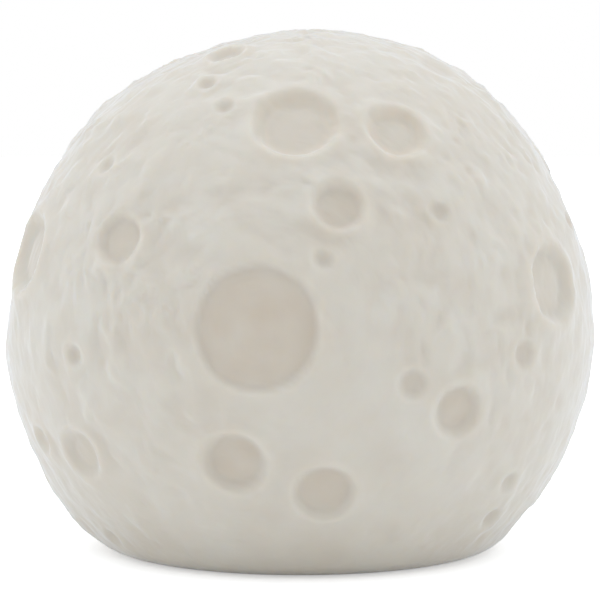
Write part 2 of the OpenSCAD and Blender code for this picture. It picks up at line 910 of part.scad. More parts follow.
module lamp_chips() {
    color("lemonchiffon")
        for (i = [0:led_count - 1])
            rotate([0, 0, 360 * i / led_count + 30])
                translate([led_ring_d / 2, 0, 0])
                    slab(chip_l, chip_w, board_top, board_top + chip_h);
}

// The timer chip, its small parts, and the solder where the leads land
module board_chips() {
    color("dimgray") {
        slab(4, 5, board_top, board_top + 1.5);
        for (y = [-1, 1])
            translate([4.5, y * 1.6, 0])
                slab(1.6, 0.9, board_top, board_top + 0.5);
        translate([-5, 0, 0])
            slab(1.8, 1.2, board_top, board_top + 0.9);
    }
    color("silver")
        for (p = lead_pads())
            translate([p[0], p[1], board_top])
                cylinder(r1 = pad_r, r2 = lead_d / 2, h = pad_h);
}

module lamp_board_screws() {
    color("silver")
        at_board_screws()
            translate([0, 0, board_top])
                rotate([180, 0, 0])
                    screw(small_head_r, small_head_h, small_screw_r, small_screw_l);
}

// A frosted cap: a short upright wall under a shallow dome, held by three snap legs
module light_spreader() {
    cap_r = (spreader_r * spreader_r + spreader_cap_h * spreader_cap_h) / (2 * spreader_cap_h);
    cap_z = deck_top + spreader_h - cap_r;
    wall_top = deck_top + spreader_wall_h;
    in_r = spreader_r - spreader_t;
    leg_bottom = deck_bottom - leg_hook_h;
    color("whitesmoke") {
        difference() {
            union() {
                post(spreader_r, deck_top, wall_top);
                intersection() {
                    translate([0, 0, cap_z])
                        sphere(cap_r);
                    slab(3 * spreader_r, 3 * spreader_r, wall_top, deck_top + 2 * spreader_h);
                }
            }
            post(in_r, deck_top - over, wall_top);
            intersection() {
                translate([0, 0, cap_z])
                    sphere(cap_r - spreader_t);
                post(in_r, wall_top - gap, deck_top + 2 * spreader_h);
            }
        }
        for (a = [0, 120, 240])
            rotate([0, 0, a])
                translate([spreader_r - spreader_t / 2, 0, 0]) {
                    slab(spreader_t, leg_w, leg_bottom, deck_top + gap);
                    translate([leg_hook_t / 2, 0, 0])
                        slab(spreader_t + leg_hook_t, leg_w, leg_bottom, deck_bottom - 2 * gap);
                }
    }
}

// ------------------------------------------------------------------ leads

// Where the leads land on the board: red, black, and the pair from the switch
function lead_pads() = [
    [-lead_side_x, -pad_ring_r],
    [lead_side_x, pad_ring_r],
    [pad_ring_r, -lead_pair_y],
    [pad_ring_r, lead_pair_y]
];

// From the tail of the positive contact, up through the deck, over the board's edge and down
function red_line() =
    let (tail_y = bay_l / 2 - contact_t - gap, hole_r = lead_hole_ring_r)
        [
            [-cell_pitch, -tail_y, box_top + 1.4],
            [-cell_pitch, 2.1 - tail_y, box_top + 1.5],
            [-0.78 * cell_pitch, 4 - tail_y, box_top + 1.7],
            [-lead_side_x - 0.6, 2.7 - hole_r, box_top + 2.3],
            [-lead_side_x, 0.4 - hole_r, deck_bottom],
            [-lead_side_x, -hole_r, deck_top],
            [-lead_side_x, 0.4 - hole_r, board_bottom],
            [-lead_side_x, 0.6 - board_r, lead_over_board - 0.2],
            [-lead_side_x, -pad_ring_r - 1.1, lead_over_board],
            [-lead_side_x, -pad_ring_r, lead_over_board - 0.7],
            [-lead_side_x, -pad_ring_r, lead_end]
        ];

function turned(p) = [for (q = p) [-q[0], -q[1], q[2]]];

// From the switch's board, up through the deck at its side of the hole, and over the edge
function switch_line(side) =
    let (rise = can_top + board_t, hole_r = lead_hole_ring_r)
        [
            [switch_x, side * 4, rise + gap],
            [switch_x, side * 4, rise + 2],
            [switch_x - 0.8, side * 2.6, box_top],
            [hole_r, side * 1, deck_bottom],
            [hole_r, side * 1, deck_top],
            [hole_r - 0.4, side * 1.2, board_bottom],
            [board_r - 0.6, side * (lead_pair_y - 0.5), lead_over_board - 0.2],
            [pad_ring_r + 1.1, side * (lead_pair_y - 0.1), lead_over_board],
            [pad_ring_r, side * lead_pair_y, lead_over_board - 0.7],
            [pad_ring_r, side * lead_pair_y, lead_end]
        ];

module lead_red() {
    color("firebrick")
        sweep(smooth(red_line(), lead_steps), lead_d / 2, lead_sides);
}

module lead_black() {
    color("black")
        sweep(smooth(turned(red_line()), lead_steps), lead_d / 2, lead_sides);
}

module switch_leads() {
    color("gold")
        for (side = [-1, 1])
            sweep(smooth(switch_line(side), lead_steps), lead_d / 2, lead_sides);
}

// ------------------------------------------------------------------ the lamp

moon_shell();
base_plug();
inner_cover();
long_screws();
battery_door();
door_foam();
door_screw();
door_screw_ring();
door_nut();
cell_left();
cell_middle();
cell_right();
contact_positive();
contact_negative();
contact_link_rear();
contact_link_front();
cell_springs();
switch_knob();
switch_lever();
switch_can();
switch_board();
switch_board_screws();
lamp_board();
lamp_chips();
board_chips();
lamp_board_screws();
light_spreader();
lead_red();
lead_black();
switch_leads();
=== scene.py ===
import math

import bmesh
import bpy
import numpy as np
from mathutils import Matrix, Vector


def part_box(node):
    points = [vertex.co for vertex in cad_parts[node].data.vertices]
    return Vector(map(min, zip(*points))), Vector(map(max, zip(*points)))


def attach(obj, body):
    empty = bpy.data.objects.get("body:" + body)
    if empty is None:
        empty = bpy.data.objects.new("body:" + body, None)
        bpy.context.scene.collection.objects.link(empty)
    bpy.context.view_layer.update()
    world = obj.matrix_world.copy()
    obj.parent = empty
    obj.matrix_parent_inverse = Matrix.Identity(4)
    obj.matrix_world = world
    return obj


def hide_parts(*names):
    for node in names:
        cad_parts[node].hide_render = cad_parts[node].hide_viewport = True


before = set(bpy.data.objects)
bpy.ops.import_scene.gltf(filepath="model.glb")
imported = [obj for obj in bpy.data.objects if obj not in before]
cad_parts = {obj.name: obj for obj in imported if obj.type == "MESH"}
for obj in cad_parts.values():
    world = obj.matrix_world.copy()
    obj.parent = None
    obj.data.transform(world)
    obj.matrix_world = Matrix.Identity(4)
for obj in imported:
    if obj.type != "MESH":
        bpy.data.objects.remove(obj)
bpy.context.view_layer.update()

# ------------------------------------------------------------------------------ base plug
# One injection moulding in white ABS: a round plate with the battery box, the switch's posts
# and four screw posts on its back. It is pushed up into the ball's opening, and four long
# screws draw it against the inner cover with the ball's lip between them.
MM = 0.001  # in metres


def linear(hex_colour):
    """The linear colour of an sRGB hex value, by the sRGB curve."""
    parts = [int(hex_colour[i:i + 2], 16) / 255 for i in (1, 3, 5)]
    curve = [c / 12.92 if c <= 0.04045 else ((c + 0.055) / 1.055) ** 2.4 for c in parts]
    return (*curve, 1)


def add(tree, kind, values=None, links=None, **settings):
    """Adds a node: values go to its input sockets by name or number, links come from other
    nodes' outputs, and settings are its own attributes."""
    node = tree.nodes.new(kind)
    for key, value in settings.items():
        setattr(node, key, value)
    for key, value in (values or {}).items():
        node.inputs[key].default_value = value
    for key, source in (links or {}).items():
        tree.links.new(source, node.inputs[key])
    return node


def new_material(name):
    """An empty material, its tree, and the object coordinates that its patterns read."""
    made = bpy.data.materials.new(name)
    made.use_nodes = True
    made.node_tree.nodes.clear()
    place = add(made.node_tree, "ShaderNodeTexCoord").outputs["Object"]
    return made, made.node_tree, place


def moulded(name, light, dark, rough, grain, depth, **sockets):
    """A dielectric with two close shades in broad clouds, a grain as fine as given, in metres,
    whose bump is depth high, and a roughness that wanders by 0.05 round rough."""
    made, tree, place = new_material(name)
    clouds = add(tree, "ShaderNodeTexNoise", {"Scale": 1 / (9 * MM)}, {"Vector": place})
    shade = add(tree, "ShaderNodeMix", {"A": linear(light), "B": linear(dark)},
                {"Factor": clouds.outputs["Fac"]}, data_type="RGBA")
    flow = add(tree, "ShaderNodeTexNoise", {"Scale": 1 / (3 * MM)}, {"Vector": place})
    satin = add(tree, "ShaderNodeMapRange", {"To Min": rough - 0.05, "To Max": rough + 0.05},
                {"Value": flow.outputs["Fac"]})
    sparks = add(tree, "ShaderNodeTexNoise", {"Scale": 1 / grain}, {"Vector": place})
    bump = add(tree, "ShaderNodeBump", {"Strength": 0.4, "Distance": depth},
               {"Height": sparks.outputs["Fac"]})
    shader = add(tree, "ShaderNodeBsdfPrincipled", sockets,
                 {"Base Color": shade.outputs["Result"], "Roughness": satin.outputs["Result"],
                  "Normal": bump.outputs["Normal"]})
    add(tree, "ShaderNodeOutputMaterial", {}, {"Surface": shader.outputs["BSDF"]})
    return made


def edged(node, body, surface, width):
    """A copy of a CAD node with its triangles merged and its sharp edges rounded to width. Its
    corners take their slopes from the largest faces there, so that flat faces look flat."""
    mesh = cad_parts[node].data.copy()
    merged = bmesh.new()
    merged.from_mesh(mesh)
    bmesh.ops.remove_doubles(merged, verts=merged.verts, dist=0.001 * MM)
    bmesh.ops.dissolve_limit(merged, angle_limit=math.radians(0.5), verts=merged.verts,
                             edges=merged.edges)
    merged.to_mesh(mesh)
    merged.free()
    mesh.polygons.foreach_set("use_smooth", [True] * len(mesh.polygons))
    mesh.materials.clear()
    mesh.materials.append(surface)
    piece = bpy.data.objects.new(node + "_edged", mesh)
    bpy.context.scene.collection.objects.link(piece)
    round_edge = piece.modifiers.new("edges", "BEVEL")
    round_edge.width = width
    round_edge.segments = 2
    round_edge.angle_limit = math.radians(35)
    round_edge.use_clamp_overlap = False
    piece.modifiers.new("flat faces", "WEIGHTED_NORMAL").weight = 100
    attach(piece, body)
    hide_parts(node)
    return piece


# ABS from a spark-eroded mould: satin, with a fine even grain. The real grain of 0.2 mm is
# too fine to show, so it is drawn at 0.45 mm. IOR 1.54.
white_abs = moulded("white ABS", "#efefec", "#e9e9e5", rough=0.42, grain=0.45 * MM,
                    depth=0.03 * MM, IOR=1.54)
edged("base_plug", "lamp", white_abs, width=0.15 * MM)

# ------------------------------------------------------------------------------ contacts
# Four plates of spring steel, stamped from strip that was nickel plated after rolling, slid
# into the ends of the battery bay. They are bright, with fine lines along the strip, which
# are half a millimetre apart and 24 times as long.
nickel, tree, place = new_material("nickel-plated strip")
drawn_out = add(tree, "ShaderNodeVectorMath", {1: (1 / 24, 1, 1)}, {0: place},
                operation="MULTIPLY")
lines = add(tree, "ShaderNodeTexNoise", {"Scale": 1 / (0.5 * MM), "Detail": 3.0},
            {"Vector": drawn_out.outputs[0]}).outputs["Fac"]
clouds = add(tree, "ShaderNodeTexNoise", {"Scale": 1 / (4 * MM)}, {"Vector": place})
tarnish = add(tree, "ShaderNodeMix", {"A": linear("#d3cfc6"), "B": linear("#bdb8ac")},
              {"Factor": clouds.outputs["Fac"]}, data_type="RGBA")
gloss = add(tree, "ShaderNodeMapRange", {"To Min": 0.16, "To Max": 0.34}, {"Value": lines})
rolled = add(tree, "ShaderNodeBump", {"Strength": 0.2, "Distance": 0.01 * MM},
             {"Height": lines})
shader = add(tree, "ShaderNodeBsdfPrincipled", {"Metallic": 1.0},
             {"Base Color": tarnish.outputs["Result"], "Roughness": gloss.outputs["Result"],
              "Normal": rolled.outputs["Normal"]})
add(tree, "ShaderNodeOutputMaterial", {}, {"Surface": shader.outputs["BSDF"]})
for node in ["contact_positive", "contact_negative", "contact_link_rear", "contact_link_front"]:
    edged(node, "lamp", nickel, width=0.06 * MM)

# ------------------------------------------------------------------------------ cell springs
# Three cone springs, wound from 0.6 mm nickel-plated wire, one at the flat end of each cell.
# The wide turn sits on the contact, and the coil closes in towards the cell.
SPRING_WIRE_D = 0.6 * MM
SPRING_TURNS = 4
SPRING_WIDE_R, SPRING_NARROW_R = 3.6 * MM, 2.4 * MM  # at the middle of the wire
SPRING_RISE = 5.3 * MM
SPRING_FOOT_Y = 25.2 * MM
CELL_PITCH = 11.4 * MM
CELL_Z = 9.05 * MM


def ring_grid(rings, top, bottom):
    """Closed mesh through rings of points, from the point top to the point bottom. Each ring
    has as many points as the last or half as many. Its faces turn outwards where the rings
    run anticlockwise, seen from the top."""
    points = [np.array(top)[None]] + list(rings) + [np.array(bottom)[None]]
    starts = np.cumsum([0] + [len(p) for p in points])
    faces = []
    for i in range(1, len(points) - 2):
        n, m = len(points[i]), len(points[i + 1])
        a, b = starts[i], starts[i + 1]
        j = np.arange(m)
        k = (j + 1) % m
        if n == m:
            faces += np.stack([a + j, b + j, b + k, a + k], axis=1).tolist()
        else:
            middle, end = a + 2 * j + 1, a + (2 * j + 2) % n
            faces += np.stack([a + 2 * j, b + j, middle], axis=1).tolist()
            faces += np.stack([middle, b + j, b + k], axis=1).tolist()
            faces += np.stack([middle, b + k, end], axis=1).tolist()
    for a, n, tip, turn in [(starts[1], len(points[1]), 0, 1),
                            (starts[-3], len(points[-2]), starts[-2], -1)]:
        j = np.arange(n)
        fan = np.stack([np.full(n, tip), a + j, a + (j + 1) % n], axis=1)
        faces += fan[:, ::turn].tolist()
    return np.concatenate(points), faces


def joined(meshes):
    """Several (points, faces) as one."""
    points, faces, start = [], [], 0
    for p, f in meshes:
        points.append(p)
        faces += [[i + start for i in face] for face in f]
        start += len(p)
    return np.concatenate(points), faces


def add_piece(name, shape, body, replaced, slot_name, *surfaces):
    """A smooth-shaded object of (points, faces) that rides on a body and replaces a node."""
    points, faces = shape
    mesh = bpy.data.meshes.new(name)
    mesh.from_pydata(points.tolist(), [], faces)
    mesh.polygons.foreach_set("use_smooth", [True] * len(faces))
    for surface in surfaces:
        mesh.materials.append(surface)
    piece = bpy.data.objects.new(name, mesh)
    bpy.context.scene.collection.objects.link(piece)
    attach(piece, body)
    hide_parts(replaced)
    return piece


def tube(path, radius, sides, across):
    """A round tube along the points of a path. Each ring stands square to the path: its first
    side is the direction across, which the path never runs along, crossed with the path."""
    way = np.gradient(path, axis=0)
    side = np.cross(across, way)
    side /= np.linalg.norm(side, axis=1)[:, None]
    up = np.cross(side, way / np.linalg.norm(way, axis=1)[:, None])
    a = np.linspace(0, 2 * math.pi, sides, endpoint=False)[None, :, None]
    rings = path[:, None] + radius * (np.cos(a) * side[:, None] + np.sin(a) * up[:, None])
    return ring_grid(rings, path[0], path[-1])


t = np.linspace(0, 1, SPRING_TURNS * 26 + 1)
radius = SPRING_WIDE_R + (SPRING_NARROW_R - SPRING_WIDE_R) * t
angle = 2 * math.pi * SPRING_TURNS * t
coils = []
for column, end in [(-1, 1), (0, -1), (1, 1)]:
    coil = np.stack([column * CELL_PITCH + radius * np.cos(angle),
                     end * (SPRING_FOOT_Y - SPRING_RISE * t),
                     CELL_Z + end * radius * np.sin(angle)], axis=1)
    coils.append(tube(coil, SPRING_WIRE_D / 2, 12, (0, 1, 0)))
add_piece("cone_springs", joined(coils), "lamp", "cell_springs", "nickel_plated_steel", nickel)

# ------------------------------------------------------------------------------ cells
# Three AAA cells: a drawn steel can with a nub at one end, in a shrunk and printed sleeve
# that is rolled over both ends. They lie in the bay with the middle one turned round.
CELL_NUB_Y = 24.95 * MM
CELL_PROFILE = np.array([  # radius and distance from the nub's face, in mm
    (1.5, 0), (1.75, 0.05), (1.88, 0.18), (1.9, 0.35), (1.9, 0.8), (2.0, 0.93), (2.4, 0.97),
    (3.3, 0.97), (3.4, 1.05), (3.55, 1.05), (3.65, 0.97), (3.95, 0.97), (4.0, 0.9), (4.15, 0.85),
    (4.5, 0.95), (4.85, 1.15), (5.1, 1.45), (5.22, 1.8), (5.25, 2.2), (5.25, 8), (5.25, 15),
    (5.25, 25), (5.25, 35), (5.25, 42.6), (5.22, 43.2), (5.1, 43.7), (4.8, 44.1), (4.4, 44.32),
    (4.1, 44.38), (3.98, 44.28), (3.9, 44.2), (3.6, 44.2), (3.45, 44.35), (3.2, 44.48), (2, 44.5),
]) * MM
# The sleeve starts and ends that far from the nub's face and is rolled in to SLEEVE_IN. Past
# BARE_R no steel shows.
SLEEVE_FROM, SLEEVE_TO = 0.86 * MM, 44.25 * MM
SLEEVE_IN, BARE_R = 3.95 * MM, 4.05 * MM
INKS = [  # the share of the cell's length, from the nub, where each ink starts
    (0, "#b9bdb9"), (0.245, "#e8e6dc"), (0.262, "#33603f"), (0.9, "#e8e6dc"), (0.917, "#2b5236")]


def turned(profile, around):
    """Rings round the Z axis, one for each radius and height of the profile."""
    a = np.linspace(0, 2 * math.pi, around, endpoint=False)
    circle = np.stack([np.cos(a), np.sin(a), np.zeros(around)], axis=1)
    return [r * circle + [0, 0, z] for r, z in profile]


# Shrunk film, printed in flat inks: glossy, with faint ripples round the can where it shrank.
# A band tells the nub's end from the flat one.
sleeve, tree, place = new_material("printed shrink sleeve")
along = add(tree, "ShaderNodeAttribute", attribute_name="along").outputs["Fac"]
inks = add(tree, "ShaderNodeValToRGB", {}, {"Fac": along})
ramp = inks.color_ramp
ramp.interpolation = "CONSTANT"
ramp.elements.remove(ramp.elements[1])
ramp.elements[0].color = linear(INKS[0][1])
for start, ink in INKS[1:]:
    ramp.elements.new(start).color = linear(ink)
drawn_out = add(tree, "ShaderNodeVectorMath", {1: (1 / 3, 1, 1 / 3)}, {0: place},
                operation="MULTIPLY")
shrunk = add(tree, "ShaderNodeTexNoise", {"Scale": 1 / (1.6 * MM)},
             {"Vector": drawn_out.outputs[0]})
ripple = add(tree, "ShaderNodeBump", {"Strength": 0.25, "Distance": 0.03 * MM},
             {"Height": shrunk.outputs["Fac"]})
rubbed = add(tree, "ShaderNodeTexNoise", {"Scale": 1 / (2 * MM)}, {"Vector": place})
gloss = add(tree, "ShaderNodeMapRange", {"To Min": 0.2, "To Max": 0.3},
            {"Value": rubbed.outputs["Fac"]})
shader = add(tree, "ShaderNodeBsdfPrincipled", {"IOR": 1.54, "Coat Weight": 0.3},
             {"Base Color": inks.outputs["Color"], "Roughness": gloss.outputs["Result"],
              "Normal": ripple.outputs["Normal"]})
add(tree, "ShaderNodeOutputMaterial", {}, {"Surface": shader.outputs["BSDF"]})

for node, column, way in [("cell_left", -1, -1), ("cell_middle", 0, 1), ("cell_right", 1, -1)]:
    lying = CELL_PROFILE * [1, -1]
    upright, faces = ring_grid(turned(lying, 64), (0, 0, 0), (0, 0, lying[-1, 1]))
    x, y, z = upright.T
    points = np.stack([x + column * CELL_PITCH, way * (CELL_NUB_Y + z), CELL_Z - way * y], axis=1)
    cell = add_piece(node + "_sleeved", (points, faces), "lamp", node, "cell_jacket", sleeve,
                     nickel)
    share = cell.data.attributes.new("along", "FLOAT", "POINT")
    share.data.foreach_set("value", z / lying[-1, 1])
    centres = np.empty(3 * len(faces))
    cell.data.polygons.foreach_get("center", centres)
    x, y, z = (centres.reshape(-1, 3) - [column * CELL_PITCH, way * CELL_NUB_Y, CELL_Z]).T
    bare = (np.hypot(x, z) < SLEEVE_IN) | (-way * y < SLEEVE_FROM) | (-way * y > SLEEVE_TO)
    bare &= np.hypot(x, z) < BARE_R
    cell.data.polygons.foreach_set("material_index", bare.astype(np.int32))

# ------------------------------------------------------------------------------ nut
# A square nut of sawn and tapped brass, trapped in the plug for the door's screw. The cutter
# leaves fine bright lines on it.
brass, tree, place = new_material("machined brass")
drawn_out = add(tree, "ShaderNodeVectorMath", {1: (1, 1 / 9, 1)}, {0: place},
                operation="MULTIPLY")
cut = add(tree, "ShaderNodeTexNoise", {"Scale": 1 / (0.35 * MM)},
          {"Vector": drawn_out.outputs[0]}).outputs["Fac"]
tone = add(tree, "ShaderNodeMix", {"A": linear("#d2b36a"), "B": linear("#bf9c50")},
           {"Factor": cut}, data_type="RGBA")
gloss = add(tree, "ShaderNodeMapRange", {"To Min": 0.22, "To Max": 0.36}, {"Value": cut})
shader = add(tree, "ShaderNodeBsdfPrincipled", {"Metallic": 1.0},
             {"Base Color": tone.outputs["Result"], "Roughness": gloss.outputs["Result"]})
add(tree, "ShaderNodeOutputMaterial", {}, {"Surface": shader.outputs["BSDF"]})
edged("door_nut", "lamp", brass, width=0.2 * MM)

# ------------------------------------------------------------------------------ slide switch
# The knob is moulded in pale grey ABS and shows in its slot under the plug. Behind it a black
# nylon lever slides in a folded can of nickel-plated steel on its own small circuit board,
# which two screws hold to posts on the plug.
grey_abs = moulded("grey ABS", "#a9a9a7", "#a19f9d", rough=0.45, grain=0.45 * MM,
                   depth=0.03 * MM, IOR=1.54)
edged("switch_knob", "switch", grey_abs, width=0.12 * MM)
nylon = moulded("black nylon", "#1c1c1d", "#151516", rough=0.5, grain=0.5 * MM,
                depth=0.02 * MM, IOR=1.53)
edged("switch_lever", "switch", nylon, width=0.1 * MM)
edged("switch_can", "lamp", nickel, width=0.15 * MM)

# Glass fibre board under green solder mask. The copper lines stand 0.04 mm proud and look
# lighter; they are drawn as bands of stretched noise.
mask, tree, place = new_material("green solder mask")
drawn_out = add(tree, "ShaderNodeVectorMath", {1: (1, 1 / 6, 1)}, {0: place},
                operation="MULTIPLY")
bands = add(tree, "ShaderNodeTexNoise", {"Scale": 1 / (1.6 * MM), "Detail": 0.0},
            {"Vector": drawn_out.outputs[0]})
copper = add(tree, "ShaderNodeMapRange", {"From Min": 0.52, "From Max": 0.55},
             {"Value": bands.outputs["Fac"]})
tone = add(tree, "ShaderNodeMix", {"A": linear("#17552c"), "B": linear("#2c7a41")},
           {"Factor": copper.outputs["Result"]}, data_type="RGBA")
step = add(tree, "ShaderNodeBump", {"Strength": 0.5, "Distance": 0.04 * MM},
           {"Height": copper.outputs["Result"]})
shader = add(tree, "ShaderNodeBsdfPrincipled", {"IOR": 1.55, "Roughness": 0.28},
             {"Base Color": tone.outputs["Result"], "Normal": step.outputs["Normal"]})
add(tree, "ShaderNodeOutputMaterial", {}, {"Surface": shader.outputs["BSDF"]})
edged("switch_board", "lamp", mask, width=0.08 * MM)


def smooth_step(low, high, x):
    """0 on low's side, 1 on high's side, and 3t^2 - 2t^3 between them, with t the share of the
    way. Low may be the larger one."""
    t = np.clip((x - low) / (high - low), 0, 1)
    return t * t * (3 - 2 * t)


def cross_screw(head_r, head_h, core_r, thread_r, length, pitch, plain=0):
    """A pan head screw, in mm, that stands on its tip along Z with its seat at z = 0. The head
    is a shallow dome less a cross of two arms. Its thread is a ridge on the core whose height
    falls off from the line where z / pitch plus the share of a turn is a whole number and a
    half. It leaves the length plain under the head bare, and the last turns taper."""
    around = 64
    dome_to = 0.86  # the share of the head's radius where its dome turns into the round edge
    a = np.linspace(0, 2 * math.pi, around, endpoint=False)
    rings = []
    for share in np.linspace(0.07, dome_to, 13):
        x, y = share * np.cos(a), share * np.sin(a)
        arms = [(1 - smooth_step(0.11, 0.19, across)) * (1 - smooth_step(0.46, 0.6, along))
                for across, along in [np.abs([x, y]), np.abs([y, x])]]
        rise = head_h * (1 - 0.22 * share ** 2 - 0.55 * np.maximum(*arms) * (1 - 0.5 * share))
        rings.append(np.stack([head_r * x, head_r * y, rise], axis=1))
    bend = np.linspace(0.25, 1, 4) * math.pi / 2
    edge = np.stack([head_r * (dome_to + (1 - dome_to) * np.sin(bend)),
                     head_h * (0.45 + 0.387 * np.cos(bend))], axis=1)
    edge = np.concatenate([edge, [(head_r, 0.1 * head_h), (0.95 * head_r, 0)]])
    rings += turned(edge, around)
    a = a[::2]
    for z in -np.linspace(0, length, int(8 * length / pitch) + 1):
        turn = (-z / pitch + a / (2 * math.pi)) % 1
        ridge = np.clip(1 - 3 * np.abs(turn - 0.5), 0, 1) * (-z > plain)
        r = (core_r + (thread_r - core_r) * ridge) * np.clip((length + z) / (1.6 * pitch), 0.1, 1)
        rings.append(np.stack([r * np.cos(a), r * np.sin(a), np.full(len(a), z)], axis=1))
    points, faces = ring_grid(rings, (0, 0, 0.45 * head_h), (0, 0, -length - 0.05))
    return points * MM, faces


# Bright zinc on cold-headed steel: a cool grey with a soft mirror, in clouds 1 to 2 mm wide.
zinc, tree, place = new_material("zinc-plated steel")
cloud = add(tree, "ShaderNodeTexNoise", {"Scale": 1 / (1.5 * MM), "Detail": 3.0},
            {"Vector": place}).outputs["Fac"]
tone = add(tree, "ShaderNodeMix", {"A": linear("#c6c9cc"), "B": linear("#adb1b6")},
           {"Factor": cloud}, data_type="RGBA")
gloss = add(tree, "ShaderNodeMapRange", {"To Min": 0.22, "To Max": 0.42}, {"Value": cloud})
shader = add(tree, "ShaderNodeBsdfPrincipled", {"Metallic": 1.0},
             {"Base Color": tone.outputs["Result"], "Roughness": gloss.outputs["Result"]})
add(tree, "ShaderNodeOutputMaterial", {}, {"Surface": shader.outputs["BSDF"]})

small_points, small_faces = cross_screw(head_r=1.7, head_h=1.1, core_r=0.6, thread_r=0.85,
                                        length=4, pitch=0.65)
SWITCH_X = 27.5 * MM
SWITCH_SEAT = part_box("switch_board")[1].z
SWITCH_POST_Y = 11.7 * MM
pair = [(small_points + [SWITCH_X, side * SWITCH_POST_Y, SWITCH_SEAT], small_faces)
        for side in (-1, 1)]
add_piece("switch_screws", joined(pair), "lamp", "switch_board_screws", "zinc_plated_steel", zinc)

# ------------------------------------------------------------------------------ inner cover
# A round ABS hat over the battery box. Its flange clamps the ball's lip from above, and four
# long screws come up into its posts from under the plug.
edged("inner_cover", "lamp", white_abs, width=0.15 * MM)
LONG_SCREW_SEAT = 3.6 * MM
LONG_SCREW_X, LONG_SCREW_Y = 24.2 * MM, 19.07 * MM
long_points, long_faces = cross_screw(head_r=2.4, head_h=1.7, core_r=0.95, thread_r=1.3,
                                      length=10, pitch=1)
upwards = long_points * [1, -1, -1]
four = [(upwards + [x * LONG_SCREW_X, y * LONG_SCREW_Y, LONG_SCREW_SEAT], long_faces)
        for x in (-1, 1) for y in (-1, 1)]
add_piece("case_screws", joined(four), "lamp", "long_screws", "zinc_plated_steel", zinc)

# ------------------------------------------------------------------------------ lamp board
# A round board under white solder mask, which throws the light up. It carries six lamp chips
# in a ring and the timer's parts in the middle, and stands on three posts of the cover.
white_mask = moulded("white solder mask", "#f3f3ee", "#eeeee8", rough=0.3, grain=1.2 * MM,
                     depth=0.02 * MM, IOR=1.55)
edged("lamp_board", "lamp", white_mask, width=0.08 * MM)
LAMP_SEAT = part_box("lamp_board")[1].z
SCREW_RING_R = 18 * MM
three = [(small_points + [SCREW_RING_R * math.cos(a), SCREW_RING_R * math.sin(a), LAMP_SEAT],
          small_faces) for a in np.radians([90, 210, 330])]
add_piece("lamp_screws", joined(three), "lamp", "lamp_board_screws", "zinc_plated_steel", zinc)

# Each lamp chip is a white ceramic-filled body round a pool of silicone over phosphor, which
# is a dull orange-yellow when it is off. A point lies in a pool when it is less than the
# pool's radius from a chip's middle: sideways by the angle to the nearest chip, and outwards.
CHIP_RING_R = 12 * MM
POOL_R = 1.05 * MM
phosphor, tree, place = new_material("silicone over phosphor")
axes = add(tree, "ShaderNodeSeparateXYZ", {}, {0: place})
round_board = add(tree, "ShaderNodeMath", {}, {0: axes.outputs["Y"], 1: axes.outputs["X"]},
                  operation="ARCTAN2")
sixth = add(tree, "ShaderNodeMath", {1: math.pi / 3}, {0: round_board.outputs[0]},
            operation="PINGPONG")
off_angle = add(tree, "ShaderNodeMath", {1: math.pi / 6}, {0: sixth.outputs[0]},
                operation="SUBTRACT")
flat = add(tree, "ShaderNodeVectorMath", {1: (1, 1, 0)}, {0: place}, operation="MULTIPLY")
out = add(tree, "ShaderNodeVectorMath", {}, {0: flat.outputs[0]}, operation="LENGTH")
sideways = add(tree, "ShaderNodeMath", {1: CHIP_RING_R}, {0: off_angle.outputs[0]},
               operation="MULTIPLY")
outwards = add(tree, "ShaderNodeMath", {1: CHIP_RING_R}, {0: out.outputs["Value"]},
               operation="SUBTRACT")
both = add(tree, "ShaderNodeCombineXYZ", {}, {0: sideways.outputs[0], 1: outwards.outputs[0]})
from_chip = add(tree, "ShaderNodeVectorMath", {}, {0: both.outputs[0]}, operation="LENGTH")
pool = add(tree, "ShaderNodeMath", {1: POOL_R}, {0: from_chip.outputs["Value"]},
           operation="LESS_THAN")
tone = add(tree, "ShaderNodeMix", {"A": linear("#f1f0ea"), "B": linear("#e8c254")},
           {"Factor": pool.outputs[0]}, data_type="RGBA")
shader = add(tree, "ShaderNodeBsdfPrincipled", {"IOR": 1.45, "Roughness": 0.35},
             {"Base Color": tone.outputs["Result"]})
add(tree, "ShaderNodeOutputMaterial", {}, {"Surface": shader.outputs["BSDF"]})
edged("lamp_chips", "lamp", phosphor, width=0.15 * MM)

# The timer chip and its small parts are black epoxy near the middle of the board; further
# out are the beads of solder on the leads.
epoxy, tree, place = new_material("black epoxy and solder")
flat = add(tree, "ShaderNodeVectorMath", {1: (1, 1, 0)}, {0: place}, operation="MULTIPLY")
out = add(tree, "ShaderNodeVectorMath", {}, {0: flat.outputs[0]}, operation="LENGTH")
solder = add(tree, "ShaderNodeMath", {1: CHIP_RING_R}, {0: out.outputs["Value"]},
             operation="GREATER_THAN")
tone = add(tree, "ShaderNodeMix", {"A": linear("#232325"), "B": linear("#c3c4c6")},
           {"Factor": solder.outputs[0]}, data_type="RGBA")
grains = add(tree, "ShaderNodeTexNoise", {"Scale": 1 / (0.5 * MM)}, {"Vector": place})
matt = add(tree, "ShaderNodeMapRange", {"To Min": 0.3, "To Max": 0.6},
           {"Value": grains.outputs["Fac"]})
shader = add(tree, "ShaderNodeBsdfPrincipled", {},
             {"Base Color": tone.outputs["Result"], "Metallic": solder.outputs[0],
              "Roughness": matt.outputs["Result"]})
add(tree, "ShaderNodeOutputMaterial", {}, {"Surface": shader.outputs["BSDF"]})
edged("board_chips", "lamp", epoxy, width=0.06 * MM)

